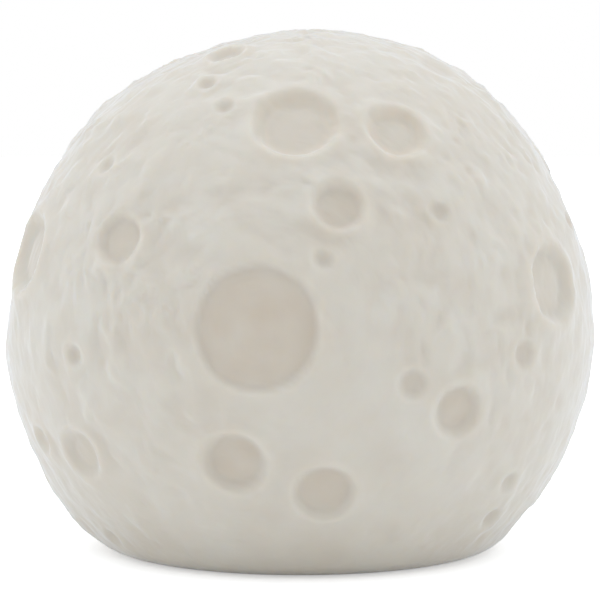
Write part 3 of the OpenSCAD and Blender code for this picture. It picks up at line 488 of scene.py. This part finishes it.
# ------------------------------------------------------------------------------ leads
# Stranded wire in extruded PVC, 1.2 mm over all: red and black from the end contacts, and a
# yellow pair from the switch. Each comes up through a hole in the cover's deck and bows over
# the lamp board's edge down to its solder.
LEAD_D = 1.2 * MM
RED_LINE = [  # in mm
    (-11.4, -25.5, 17.8), (-11.4, -23.4, 17.9), (-8.89, -21.5, 18.1), (-6.6, -22.5, 18.7),
    (-6, -24.8, 20.1), (-6, -25.2, 21.6), (-6, -24.8, 24.6), (-6, -21.4, 27.3),
    (-6, -18.6, 27.5), (-6, -17.5, 26.8), (-6, -17.5, 26.3)]
SWITCH_LINE = [
    (27.5, 4, 10.7), (27.5, 4, 12.6), (26.7, 2.6, 16.4), (25.2, 1, 20.1), (25.2, 1, 21.6),
    (24.8, 1.2, 24.6), (21.4, 1.7, 27.3), (18.6, 2.1, 27.5), (17.5, 2.2, 26.8), (17.5, 2.2, 26.3)]


def through(line, steps):
    """A smooth path through the line's points, in mm, with that many steps between two: the
    cubic whose slope at each point is half the way from the point before to the one after."""
    p = np.array(line) * MM
    p = np.concatenate([p[:1], p, p[-1:]])
    before, here, there, after = p[:-3, None], p[1:-2, None], p[2:-1, None], p[3:, None]
    t = np.linspace(0, 1, steps, endpoint=False)[None, :, None]
    path = (here + 0.5 * t * (there - before)
            + 0.5 * t ** 2 * (2 * before - 5 * here + 4 * there - after)
            + 0.5 * t ** 3 * (3 * here - before - 3 * there + after))
    return np.concatenate([path.reshape(-1, 3), p[-1:]])


def lead_piece(name, paths, across, slot_name, light, dark):
    """Leads along the given paths, in glossy PVC whose shade wanders a little."""
    pvc = moulded(slot_name.replace("_", " ").replace("pvc", "PVC"), light, dark, rough=0.3,
                  grain=1.2 * MM, depth=0.02 * MM, IOR=1.53)
    shape = joined([tube(path, LEAD_D / 2, 12, across) for path in paths])
    add_piece(name + "_soft", shape, "lamp", name, slot_name, pvc)


# The black lead is the red one turned half round the lamp's axis, and the pair is a mirror pair.
red_path, switch_path = through(RED_LINE, 6), through(SWITCH_LINE, 6)
lead_piece("lead_red", [red_path], (1, 0, -0.5), "red_pvc", "#b3201c", "#a01a17")
lead_piece("lead_black", [red_path * [-1, -1, 1]], (-1, 0, -0.5), "black_pvc", "#1b1b1c",
           "#141415")
lead_piece("switch_leads", [switch_path * [1, side, 1] for side in (-1, 1)], (0, 1, 0),
           "yellow_pvc", "#d8b02e", "#cda429")

# ------------------------------------------------------------------------------ light spreader
# An opal polycarbonate cap, moulded with a fine matt face so that the six chips don't show as
# dots through the ball. Three legs snap into the deck.
opal = moulded("frosted polycarbonate", "#f0f0ee", "#e9e9e6", rough=0.62, grain=0.6 * MM,
               depth=0.03 * MM, IOR=1.58,
               **{"Subsurface Weight": 0.3, "Subsurface Scale": 1.5 * MM})
edged("light_spreader", "lamp", opal, width=0.15 * MM)

# ------------------------------------------------------------------------------ vinyl ball
# One skin of soft PVC, about 2.6 mm thick. It is cast by turning a heated mould, so the
# outside carries the mould's craters and low lumps, and the surface is dull and a bit waxy.
# Below, its trimmed lip is clamped between the base plug and the inner cover.
BALL_R = 72.5 * MM
VINYL_T = 2.6 * MM
FOOT_FILLET_R = 13 * MM
FOOT_FLAT_R = 42 * MM
RECESS_R = 39.3 * MM
RECESS_H = 2.9 * MM
OPENING_R = 35.9 * MM
LIP_TOP = 5.3 * MM
LIP_EDGE_R = 0.4 * MM  # the trimmed edges are a little round
BARE_FOOT_H = 9 * MM  # below it the relief and the swells fade out towards the table
BALL_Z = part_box("moon_shell")[1].z - BALL_R

# Each crater: azimuth from the front towards +X and elevation, in degrees, then radius,
# depth and height of the rim in mm, and the share of the radius that its flat floor takes.
FRONT_CRATERS = [
    (-7.8, 4.2, 14.8, 1.3, 0.4, 0.92), (-1, 44.6, 10.5, 2.3, 0.8, 0.66),
    (24.5, 42.3, 7.7, 2.1, 0.8, 0.55), (7.8, 26.6, 6.3, 1.7, 0.7, 0.62),
    (-37.3, 19.5, 6.3, 1.4, 0.5, 0.7), (-68, 15.7, 10, 2.3, 0.8, 0.6),
    (56, 10.3, 9.6, 2, 0.8, 0.65), (30.4, -11.4, 6.6, 1.5, 0.5, 0.55),
    (20.7, -5.9, 4, 1, 0.2, 0.4), (-12.5, -20.8, 7.8, 1.5, 0.5, 0.65),
    (5, -27, 7.6, 1.4, 0.5, 0.65), (-49, -21.5, 6.6, 1.3, 0.5, 0.5),
    (-64.3, -20.3, 4, 1.1, 0.2, 0.2), (-45.8, -2.2, 2.9, 1, 0.2, 0.2),
    (4.4, 16.4, 2.8, 1, 0.12, 0.2), (29, 25.1, 3, 1.2, 0.15, 0.2),
    (45.5, -2, 3.9, 0.9, 0.2, 0.4), (49.3, -27.6, 3.3, 0.9, 0.15, 0.2),
    (50, -36, 3.4, 1, 0.15, 0.2), (-48.5, 34.1, 2.8, 0.8, 0.15, 0.1),
    (-21.2, 48.6, 3, 1, 0.2, 0.1), (-31.9, 55.4, 2.9, 1.1, 0.2, 0.1),
    (-38.9, 67, 5.1, 1.7, 0.35, 0.3), (-55.5, -42, 3.3, 1, 0.1, 0.1),
    (73, 21.5, 2.7, 0.8, 0.1, 0.1), (63, 60, 5.4, 0.5, 0.1, 0.3),
    (12.8, 40.6, 2.2, 0.15, 0, 0), (40.6, 39.8, 2.2, 0.3, 0, 0),
    (39.8, 33.1, 2.2, 0.35, 0, 0),
]
BACK_CRATERS = [
    (172, 16, 12.2, 1.4, 0.25, 0.78), (146, 42, 7.8, 1.9, 0.45, 0.5),
    (-148, 30, 9, 2, 0.45, 0.6), (118, 16, 7, 1.6, 0.4, 0.5),
    (-116, 24, 4.2, 1, 0.25, 0.3), (-128, -6, 6.4, 1.4, 0.3, 0.5),
    (-93, -8, 5.2, 1.2, 0.3, 0.4), (94, -14, 6.2, 1.3, 0.3, 0.5),
    (136, -18, 4.6, 1.1, 0.25, 0.4), (-164, -24, 6.8, 1.3, 0.3, 0.5),
    (160, -30, 3, 0.8, 0.15, 0.2), (-104, -32, 4.4, 1, 0.2, 0.3),
    (112, 46, 3.4, 0.8, 0.15, 0.2), (-96, 50, 6.2, 1.5, 0.35, 0.5),
    (-170, 62, 6.6, 1.5, 0.35, 0.5), (-140, 58, 2.6, 0.7, 0.12, 0.1),
    (96, 66, 2.8, 0.7, 0.12, 0.1), (130, 4, 2.4, 0.7, 0.12, 0.1),
    (-158, 4, 2.6, 0.7, 0.12, 0.1), (-110, 6, 2.4, 0.7, 0.12, 0.1),
    (86, 34, 2.6, 0.7, 0.12, 0.1), (160, -8, 2.8, 0.7, 0.12, 0.1),
    (116, -36, 2.6, 0.7, 0.12, 0.1), (-134, -38, 2.8, 0.7, 0.12, 0.1),
    (80, -34, 3.4, 0.8, 0.12, 0.2), (-80, -30, 2.4, 0.7, 0.12, 0.1),
]
CRATERS = FRONT_CRATERS + BACK_CRATERS

# The ball isn't true. Each swell: azimuth, elevation and half width in degrees, height in mm.
SWELLS = [
    (0, 90, 50, -0.85), (90, 58, 26, 1.8), (90, 24, 14, -1.5), (90, -20, 12, 0.4),
    (90, -25, 7, -0.9), (90, -38, 9, -0.6), (-90, 10, 13, -2.0), (-90, 34, 10, -0.8),
    (-90, -38, 12, 1.3), (-90, 70, 12, -0.9), (-90, 63, 6, 0.5), (-90, -4, 9, 0.7),
    (0, 60, 14, 0.4), (180, 20, 30, 0.6), (140, -30, 20, 0.5), (-150, 60, 18, 0.5),
]


def direction(azimuth, elevation):
    """Unit vector that far round from the front, -Y, towards +X, and that far up."""
    a, e = math.radians(azimuth), math.radians(elevation)
    return np.array([math.sin(a) * math.cos(e), -math.cos(a) * math.cos(e), math.sin(e)])


def angle_from(d, azimuth, elevation):
    """The angle, in radians, between each unit vector d and that direction."""
    return np.arccos(np.clip(d @ direction(azimuth, elevation), -1, 1))


def chance(cells, seed, count):
    """For each whole-numbered cell of space, that many random numbers from 0 to 1, the same
    each run: the cell's numbers are mixed by large odd factors and then stepped on."""
    at = cells.astype(np.uint64)
    h = at[:, 0] * np.uint64(73856093) ^ at[:, 1] * np.uint64(19349663)
    h = h ^ at[:, 2] * np.uint64(83492791) ^ np.uint64(seed * 2654435761)
    drawn = []
    for _ in range(count + 1):
        h = h * np.uint64(6364136223846793005) + np.uint64(1442695040888963407)
        drawn.append((h >> np.uint64(33)).astype(float) / 2 ** 31)
    return np.stack(drawn[1:], axis=1)


def lattice_noise(p, seed):
    """Gradient noise at the points p: each whole-numbered corner of space holds a random
    slope, and the eight round a point are blended by 6t^5 - 15t^4 + 10t^3 along each axis."""
    cell = np.floor(p)
    f = p - cell
    w = f * f * f * (f * (f * 6 - 15) + 10)
    total = np.zeros(len(p))
    for corner in np.ndindex(2, 2, 2):
        slope = 2 * chance((cell + corner).astype(np.int64), seed, 3) - 1
        share = np.prod(np.where(corner, w, 1 - w), axis=1)
        total += share * np.sum(slope * (f - corner), axis=1)
    return total


def dimples(p, seed):
    """Round bowls of random depth at the points p, one in each cell of space: a bowl at the
    distance r from its middle is (1 - (r / 0.85)^2)^2 deep, times its own random share."""
    cell = np.floor(p)
    total = np.zeros(len(p))
    for corner in np.ndindex(3, 3, 3):
        at = cell + corner - 1
        drawn = chance(at.astype(np.int64), seed, 4)
        apart = np.sum((p - at - drawn[:, :3]) ** 2, axis=1)
        total += drawn[:, 3] ** 2 * np.clip(1 - apart / 0.72, 0, None) ** 2
    return -total


def crests(p, seed):
    """Thin ridges at the points p, 1 high along the lines where gradient noise n is nil and
    1 / (1 + (n / 0.15)^2) to their sides."""
    return 1 / (1 + (lattice_noise(p, seed) / 0.15) ** 2)


def swirl(d):
    """Flat coordinates on the ball round its widest crater, in metres, and the way out from
    that crater. Patterns drawn on them and squeezed along the third run in rings round it."""
    hub = direction(*CRATERS[0][:2])
    side = np.cross(hub, [0, 0, 1])
    side /= np.linalg.norm(side)
    up = np.cross(side, hub)
    arc = BALL_R * angle_from(d, *CRATERS[0][:2])
    spread = arc / np.maximum(np.hypot(d @ side, d @ up), 1e-9)
    return np.stack([(d @ side) * spread, (d @ up) * spread, arc], axis=1)


def relief(d):
    """Height of the low relief, in mm, along each unit vector d. Broken ridges and bowls drawn
    out in bent rings round the widest crater cover the left; towards the right they get short
    and round. Low down in front and at the sides they fade, and slow lumps are left.

    A pattern's four numbers are its seed, its length and width in mm, and its height in mm."""
    at = d * BALL_R / MM
    bend, sway = lattice_noise(at / 13, 7), lattice_noise(at / 8 + 40, 17)
    flat = swirl(d) / MM + np.stack([3 * sway, 5 * bend, 8 * bend + 4 * sway], axis=1)
    short = smooth_step(-0.25, 0.55, d[:, 0] + 0.7 * bend)
    long_share, short_share = 1 - 0.8 * short, 0.2 + 0.8 * short
    broken = np.clip(0.45 + 1.6 * lattice_noise(at / 6.5, 18), 0, 1.3)
    height = np.zeros(len(d))
    for form, share, patterns in [
        (crests, long_share * broken, [(1, 7.4, 3.9, 0.64), (2, 5, 2.7, 0.5)]),
        (crests, short_share * broken, [(3, 6, 4.4, 0.5), (11, 4.2, 3, 0.4)]),
        (dimples, long_share, [(4, 7.4, 4.1, 0.5), (5, 4.8, 3, 0.38)]),
        (dimples, short_share, [(6, 5.6, 4.6, 0.5), (8, 3.8, 3.2, 0.36)]),
    ]:
        for seed, length, width, size in patterns:
            height += share * size * form(flat / [length, length, width], seed)
    from_calm = BALL_R / MM * angle_from(d, 5, -20)
    lively = 0.42 + 0.62 * smooth_step(15, 38, from_calm) - 0.24 * smooth_step(64, 100, from_calm)
    lively *= 1 - 0.5 * smooth_step(0.7, 0.95, np.abs(d[:, 0]))
    lively *= 0.88 - 0.4 * smooth_step(0.1, -0.5, d[:, 2])
    return lively * height + 0.7 * lattice_noise(at / 21, 9) + 0.35 * lattice_noise(at / 9, 12)


RELIEF_LEVEL = -0.36  # mm, so that the relief's crests stand at the ball's radius
HOLLOW_PAINTED_SHADE = 0.6  # how much painted shade, as in the craters, a hollow takes for each mm of its depth


def ground(d):
    """Height over the smooth ball, in metres, along each unit vector d: broad swells, the low
    relief, and for each crater a floor, a wall and a rim. With it go two shares from 0 to 1:
    painted shade in craters and hollows, and painted warm glow on the steep walls of wide craters
    high up."""
    height = np.zeros(len(d))
    for azimuth, elevation, half_width, rise in SWELLS:
        away = np.degrees(angle_from(d, azimuth, elevation))
        height += rise * MM * np.exp(-((away / half_width) ** 2))
    low_relief = relief(d)
    height += MM * (low_relief + RELIEF_LEVEL)

    # Painted shade in the relief's hollows, darker the deeper they are
    pit = np.clip(HOLLOW_PAINTED_SHADE * (0.15 - low_relief), 0, 0.35)
    slope = np.zeros(len(d))
    wobble = lattice_noise(d * BALL_R / (6 * MM), 10)  # a crater isn't quite round or even
    blotches = 0.9 + 0.5 * wobble
    for azimuth, elevation, radius, depth, rim, floor in CRATERS:
        away = BALL_R / MM * angle_from(d, azimuth, elevation) * (1 + 0.05 * wobble)
        reach = away / radius
        wall = np.clip((reach - floor) / (1 - floor), 0, 1) ** 1.5
        inside = 1 - smooth_step(0, 1, wall)
        crest_at = radius + 0.5
        crest_w = np.where(away < crest_at, 0.7 + 0.05 * radius, 1.1 + 0.16 * radius)
        crest = np.exp(-(((away - crest_at) / crest_w) ** 2))
        near = 1 - smooth_step(0.9, 1.5, reach)
        smooth_floor = 0.8 if radius > 11 else 0.45
        smooth_round_it = 0.6 if radius < 6 else 0.1
        height *= (1 - smooth_floor * inside) * (1 - smooth_round_it * near)
        height += MM * (rim * crest - depth * inside)
        painted_shade_amount = 0.75
        if radius > 6:  # wide craters get less painted shade high up and at the sides, where more light falls on them
            painted_shade_amount = 0.45 + 0.55 * smooth_step(42, 5, elevation)
            painted_shade_amount *= 1 - 0.4 * smooth_step(38, 56, abs(azimuth))
            # Painted warm glow on the steep walls of wide craters high up
            steep = smooth_step(floor - 0.1, floor + 0.1, reach) * (1 - smooth_step(0.85, 1, reach))
            slope = np.maximum(slope, steep * smooth_step(12, 40, elevation))
        painted_shade_reach = 1 - smooth_step(floor * 0.95, 1.03, reach)
        pit = np.maximum(pit, blotches * painted_shade_amount * painted_shade_reach)
    return height, np.stack([pit, slope], axis=1)


# Soft PVC: IOR 1.5, dull because the mould is blasted, with light going a short way in. The
# craters and the relief's hollows get painted shade, a darker and warmer colour. The steep
# walls of the wide craters high up get a painted warm glow, a lighter and warmer colour.
vinyl, tree, place = new_material("soft vinyl")
clouds = add(tree, "ShaderNodeTexNoise", {"Scale": 1 / (14 * MM), "Detail": 3.0},
             {"Vector": place})
tone = add(tree, "ShaderNodeMapRange", {"From Min": 0.3, "From Max": 0.7, "To Max": 0.5},
           {"Value": clouds.outputs["Fac"]})
body_colour = add(tree, "ShaderNodeMix", {"A": linear("#dfd8cb"), "B": linear("#d8cdbc")},
                  {"Factor": tone.outputs["Result"]}, data_type="RGBA")
# Painted shade: craters and the relief's hollows get a darker, warmer colour
pits = add(tree, "ShaderNodeAttribute", attribute_name="pit").outputs["Fac"]
pit_share = add(tree, "ShaderNodeMath", {1: 0.85}, {0: pits}, operation="MULTIPLY")
with_painted_shade = add(tree, "ShaderNodeMix", {"B": linear("#d1c4b2")},
             {"Factor": pit_share.outputs[0], "A": body_colour.outputs["Result"]},
             data_type="RGBA")
# Painted warm glow: the steep walls of the wide high craters get a lighter, warmer colour
slopes = add(tree, "ShaderNodeAttribute", attribute_name="slope").outputs["Fac"]
painted_glow_share = add(tree, "ShaderNodeMath", {1: 0.4}, {0: slopes}, operation="MULTIPLY")
with_painted_glow = add(tree, "ShaderNodeMix", {"B": linear("#ecdcc8")},
               {"Factor": painted_glow_share.outputs[0], "A": with_painted_shade.outputs["Result"]},
               data_type="RGBA")
blasted = add(tree, "ShaderNodeTexNoise", {"Scale": 1 / (2.2 * MM), "Detail": 3.0},
              {"Vector": place})
dull = add(tree, "ShaderNodeMapRange", {"To Min": 0.5, "To Max": 0.62},
           {"Value": blasted.outputs["Fac"]})
# Fine strokes and knocks, in rings round the widest crater like the relief
rings_place = add(tree, "ShaderNodeAttribute", attribute_name="swirl").outputs["Vector"]
pressed = add(tree, "ShaderNodeVectorMath", {1: (1, 1, 2.4)}, {0: rings_place},
              operation="MULTIPLY")
strokes = add(tree, "ShaderNodeTexNoise", {"Scale": 1 / (8 * MM), "Detail": 1.0},
              {"Vector": pressed.outputs[0]})
off_line = add(tree, "ShaderNodeMath", {1: 0.5}, {0: strokes.outputs["Fac"]}, operation="SUBTRACT")
beside = add(tree, "ShaderNodeMath", {}, {0: off_line.outputs[0]}, operation="ABSOLUTE")
ridge = add(tree, "ShaderNodeMapRange", {"From Max": 0.26, "To Min": 1.0, "To Max": 0.0},
            {"Value": beside.outputs[0]}, interpolation_type="SMOOTHSTEP")
drawn_out = add(tree, "ShaderNodeVectorMath", {1: (1, 1, 1.5)}, {0: rings_place},
                operation="MULTIPLY")
knocks = add(tree, "ShaderNodeTexVoronoi", {"Scale": 1 / (3.6 * MM), "Smoothness": 0.7},
             {"Vector": drawn_out.outputs[0]}, feature="SMOOTH_F1")
bumped = add(tree, "ShaderNodeBump", {"Strength": 0.12, "Distance": 0.3 * MM},
             {"Height": ridge.outputs["Result"]})
bumped = add(tree, "ShaderNodeBump", {"Strength": 0.2, "Distance": 0.5 * MM},
             {"Height": knocks.outputs["Distance"], "Normal": bumped.outputs["Normal"]})
grit = add(tree, "ShaderNodeTexNoise", {"Scale": 1 / (0.5 * MM), "Detail": 4.0}, {"Vector": place})
bumped = add(tree, "ShaderNodeBump", {"Strength": 0.25, "Distance": 0.05 * MM},
             {"Height": grit.outputs["Fac"], "Normal": bumped.outputs["Normal"]})
shader = add(tree, "ShaderNodeBsdfPrincipled",
             {"IOR": 1.5, "Subsurface Weight": 0.5, "Subsurface Scale": 4 * MM,
              "Subsurface Radius": (1.0, 0.75, 0.5), "Sheen Weight": 0.9, "Sheen Roughness": 0.3},
             {"Base Color": with_painted_glow.outputs["Result"], "Roughness": dull.outputs["Result"],
              "Normal": bumped.outputs["Normal"]})
add(tree, "ShaderNodeOutputMaterial", {}, {"Surface": shader.outputs["BSDF"]})

# The profile runs from the top of the ball down its outside, round the foot, in over the
# lip and up the inside. Each ring has a radius, a height, a number of points and the share of
# the ground's height that it takes.
AROUND = 480
foot_turn = math.asin((BALL_Z - FOOT_FILLET_R) / (BALL_R - FOOT_FILLET_R))
down = np.linspace(0, math.pi / 2 + foot_turn, 166)[1:]
ball_side = np.stack([BALL_R * np.sin(down), BALL_Z + BALL_R * np.cos(down)], axis=1)
turn = np.linspace(-foot_turn, -math.pi / 2, 14)[1:]
foot_edge = np.stack([FOOT_FLAT_R + FOOT_FILLET_R * np.cos(turn),
                      FOOT_FILLET_R + FOOT_FILLET_R * np.sin(turn)], axis=1)
trimmed = np.array([
    [RECESS_R + LIP_EDGE_R, 0], [RECESS_R, LIP_EDGE_R],
    [RECESS_R, RECESS_H - LIP_EDGE_R], [RECESS_R - LIP_EDGE_R, RECESS_H],
    [OPENING_R + LIP_EDGE_R, RECESS_H], [OPENING_R, RECESS_H + LIP_EDGE_R],
])


def ball_ring(r, z, around, fade):
    """A ring round the axis at radius r and height z, moved out from the ball's middle by the
    ground's height times fade, and its two shares at each point, times fade too."""
    a = np.linspace(0, 2 * math.pi, around, endpoint=False)
    ring = np.stack([r * np.cos(a), r * np.sin(a), np.full(around, z)], axis=1)
    out = ring - [0, 0, BALL_Z]
    out /= np.linalg.norm(out, axis=1)[:, None]
    height, shares = ground(out)
    return ring + out * (height * fade)[:, None], shares * fade


inner_r = BALL_R - VINYL_T
lip_turn = math.asin((BALL_Z - LIP_TOP) / inner_r)
up_inside = np.linspace(math.pi / 2 + lip_turn, 0, 64)[:-1]
inner_side = np.stack([inner_r * np.sin(up_inside), BALL_Z + inner_r * np.cos(up_inside)], axis=1)
outside = [(r, z, AROUND, smooth_step(0, BARE_FOOT_H, z))
           for r, z in np.concatenate([ball_side, foot_edge])]
lip = [(r, z, AROUND, 0) for r, z in trimmed]
lip += [(OPENING_R, LIP_TOP - LIP_EDGE_R, AROUND, 0),
        (OPENING_R + LIP_EDGE_R, LIP_TOP, AROUND // 2, 0),
        (inner_side[0, 0] - 1 * MM, LIP_TOP, AROUND // 4, 0)]
inside = [(r, z, AROUND // 4, smooth_step(LIP_TOP, BARE_FOOT_H, z)) for r, z in inner_side]
rings, shares = zip(*[ball_ring(*row) for row in outside + lip + inside])

pole_height = ground(np.array([[0.0, 0.0, 1.0]]))[0][0]
shape = ring_grid(rings, (0, 0, BALL_Z + BALL_R + pole_height),
                  (0, 0, BALL_Z + inner_r + pole_height))
moon = add_piece("moon_ball", shape, "lamp", "moon_shell", "soft_vinyl", vinyl)
crater_shares = np.concatenate([np.zeros((1, 2)), *shares, np.zeros((1, 2))])
crater_shares[-1 - len(inside) * (AROUND // 4):] = 0  # the painted shade and glow are on the outside only
for name, values in zip(["pit", "slope"], crater_shares.T):
    moon.data.attributes.new(name, "FLOAT", "POINT").data.foreach_set("value", values.copy())
outwards = shape[0] - [0, 0, BALL_Z]
outwards /= np.linalg.norm(outwards, axis=1)[:, None]
swirl_layer = moon.data.attributes.new("swirl", "FLOAT_VECTOR", "POINT")
swirl_layer.data.foreach_set("vector", swirl(outwards).ravel())

# ------------------------------------------------------------------------------ battery door
# A moulded ABS plate in the plug's underside. A round bar with two pins swings in bores at its
# front edge, three ridges give the thumb grip, and one screw at the back keeps it shut.
edged("battery_door", "door", white_abs, width=0.1 * MM)

# A strip of open-cell foam, glued across the door, presses on the cells so that they don't
# rattle. Its faces are sliced and its edges die-cut, so they are straight but soft.
FOAM_LOW, FOAM_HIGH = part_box("door_foam")
FOAM_EDGE_R = 0.25 * MM
foam, tree, place = new_material("open-cell foam")
cells = add(tree, "ShaderNodeTexVoronoi", {"Scale": 1 / (0.55 * MM)}, {"Vector": place})
tone = add(tree, "ShaderNodeMix", {"A": linear("#1f1f20"), "B": linear("#3a3a3b")},
           {"Factor": cells.outputs["Distance"]}, data_type="RGBA")
holes = add(tree, "ShaderNodeBump", {"Strength": 0.9, "Distance": 0.25 * MM},
            {"Height": cells.outputs["Distance"]})
shader = add(tree, "ShaderNodeBsdfPrincipled",
             {"IOR": 1.5, "Roughness": 0.95, "Sheen Weight": 0.1},
             {"Base Color": tone.outputs["Result"], "Normal": holes.outputs["Normal"]})
add(tree, "ShaderNodeOutputMaterial", {}, {"Surface": shader.outputs["BSDF"]})


def pad(low, high, edge_r, around):
    """A flat pad between two corners. Its rings follow |x/a|^16 + |y/b|^16 = 1 inwards, and
    over the edges they turn through a quarter circle of radius edge_r."""
    middle, half = (low + high) / 2, (high - low) / 2
    a = np.linspace(0, 2 * math.pi, around, endpoint=False) + math.pi / around
    reach = (np.abs(np.cos(a)) ** 16 + np.abs(np.sin(a)) ** 16) ** (-1 / 16)
    outline = np.stack([reach * np.cos(a), reach * np.sin(a), np.zeros(around)], axis=1)
    bend = np.linspace(0, 1, 5) * math.pi / 2
    rise = half[2] - edge_r + edge_r * np.cos(bend)
    inset = edge_r * (1 - np.sin(bend))
    levels = [(s * half[0], s * half[1], half[2]) for s in (0.2, 0.5, 0.8)]
    levels += [(half[0] - i, half[1] - i, r) for i, r in zip(inset, rise)]
    levels += [(x, y, -z) for x, y, z in levels[::-1]]
    rings = [middle + outline * [x, y, 0] + [0, 0, z] for x, y, z in levels]
    return ring_grid(rings, middle + [0, 0, half[2]], middle - [0, 0, half[2]])


strip = pad(np.array(FOAM_LOW), np.array(FOAM_HIGH), FOAM_EDGE_R, around=128)
add_piece("door_foam_strip", strip, "door", "door_foam", "foam", foam)

# The screw stays in the door by a split nylon ring, snapped on its bare shank.
DOOR_SCREW_Y, DOOR_SCREW_SEAT = 30.3 * MM, 2.0 * MM
door_points, door_faces = cross_screw(head_r=2.6, head_h=1.1, core_r=1.2, thread_r=1.48,
                                      length=5.15, pitch=0.7, plain=1.6)
door_points = door_points * [1, -1, -1] + [0, DOOR_SCREW_Y, DOOR_SCREW_SEAT]
add_piece("door_screw_cut", (door_points, door_faces), "door", "door_screw",
          "zinc_plated_steel", zinc)
edged("door_screw_ring", "door", nylon, width=0.06 * MM)

# ------------------------------------------------------------------------------ table
# A plain sheet of white paper board, 6 m wide, that the lamp stands on. The camera sees it as
# paper white, apart from the lamp's soft shadow.
TABLE_HALF = 3.0
PAPER_LIFT = 0.45  # glow that only the camera sees, so that it adds no light to the lamp


def seen_directly(tree):
    """1 for rays from the camera and for those that a gloss or a clear piece sends on."""
    ray = add(tree, "ShaderNodeLightPath")
    seen = add(tree, "ShaderNodeMath", {},
               {0: ray.outputs["Is Camera Ray"], 1: ray.outputs["Is Glossy Ray"]},
               operation="MAXIMUM")
    return add(tree, "ShaderNodeMath", {},
               {0: seen.outputs[0], 1: ray.outputs["Is Transmission Ray"]},
               operation="MAXIMUM").outputs[0]


paper_board, tree, _ = new_material("white paper board")
lift = add(tree, "ShaderNodeMath", {1: PAPER_LIFT}, {0: seen_directly(tree)},
           operation="MULTIPLY")
paper = add(tree, "ShaderNodeBsdfDiffuse", {"Color": linear("#fafbfc")})
glow = add(tree, "ShaderNodeEmission", {"Color": linear("#ffffff")},
           {"Strength": lift.outputs[0]})
both = add(tree, "ShaderNodeAddShader", {}, {0: paper.outputs[0], 1: glow.outputs[0]})
add(tree, "ShaderNodeOutputMaterial", {}, {"Surface": both.outputs[0]})
table_mesh = bpy.data.meshes.new("table")
table_mesh.from_pydata([(x * TABLE_HALF, y * TABLE_HALF, 0)
                        for x, y in [(-1, -1), (1, -1), (1, 1), (-1, 1)]], [], [(0, 1, 2, 3)])
table_mesh.materials.append(paper_board)
table = bpy.data.objects.new("table", table_mesh)
bpy.context.scene.collection.objects.link(table)

# ------------------------------------------------------------------------------ light
# A light tent: a wide soft box overhead and one to each side, with less from the back and
# little from the front. The room throws back a weak and warmer light from all round.
SIDE_BOXES = 0.85
BACK_BOX = 0.4
TOP_BOX = 1.36
FILL = 0.168
BOX_TINT = (0.94, 1, 1.1, 1)
FILL_TINT = (1.06, 1, 0.85, 1)
world = bpy.data.worlds.new("light tent")
bpy.context.scene.world = world
world.use_nodes = True
tree = world.node_tree
tree.nodes.clear()
# The boxes' brightness in a direction is the sum of its squared X, Y and Z shares times these
# values, and Y counts only behind the lamp.
aim = add(tree, "ShaderNodeTexCoord").outputs["Generated"]
squares = add(tree, "ShaderNodeVectorMath", {}, {0: aim, 1: aim}, operation="MULTIPLY")
behind = add(tree, "ShaderNodeVectorMath", {1: (0, 0, 0)}, {0: aim}, operation="MAXIMUM")
behind_squared = add(tree, "ShaderNodeVectorMath", {},
                     {0: behind.outputs[0], 1: behind.outputs[0]}, operation="MULTIPLY")
side_top = add(tree, "ShaderNodeVectorMath", {1: (SIDE_BOXES, 0, TOP_BOX)},
               {0: squares.outputs[0]}, operation="DOT_PRODUCT")
back = add(tree, "ShaderNodeVectorMath", {1: (0, BACK_BOX, 0)}, {0: behind_squared.outputs[0]},
           operation="DOT_PRODUCT")
boxes = add(tree, "ShaderNodeMath", {},
            {0: side_top.outputs["Value"], 1: back.outputs["Value"]}, operation="ADD")
box_light = add(tree, "ShaderNodeBackground", {"Color": BOX_TINT}, {"Strength": boxes.outputs[0]})
fill_light = add(tree, "ShaderNodeBackground", {"Color": FILL_TINT, "Strength": FILL})
tent = add(tree, "ShaderNodeAddShader", {}, {0: box_light.outputs[0], 1: fill_light.outputs[0]})
paper = add(tree, "ShaderNodeBackground", {"Color": linear("#ffffff"), "Strength": 1.0})
backdrop = add(tree, "ShaderNodeMixShader", {},
               {0: seen_directly(tree), 1: tent.outputs[0], 2: paper.outputs[0]})
add(tree, "ShaderNodeOutputWorld", {}, {"Surface": backdrop.outputs[0]})

# ------------------------------------------------------------------------------ camera
# A long lens from a little above the ball's middle, as in a catalogue picture. Its distance
# and its aim fit the ball's outline in the photograph.
LENS_MM, SENSOR_MM = 180.0, 36.0
DISTANCE = 739 * MM
ELEVATION = math.radians(5)
AIM_OVER_MIDDLE = 5.9 * MM
camera_data = bpy.data.cameras.new("camera")
camera_data.lens = LENS_MM
camera_data.sensor_width = SENSOR_MM
camera = bpy.data.objects.new("camera", camera_data)
bpy.context.scene.collection.objects.link(camera)
camera.location = (0, -DISTANCE * math.cos(ELEVATION), BALL_Z + DISTANCE * math.sin(ELEVATION))
aim_pitch = math.atan2(camera.location.z - BALL_Z - AIM_OVER_MIDDLE, -camera.location.y)
camera.rotation_euler = (math.pi / 2 - aim_pitch, 0, 0)
bpy.context.scene.camera = camera

bpy.context.scene.view_settings.view_transform = "Standard"
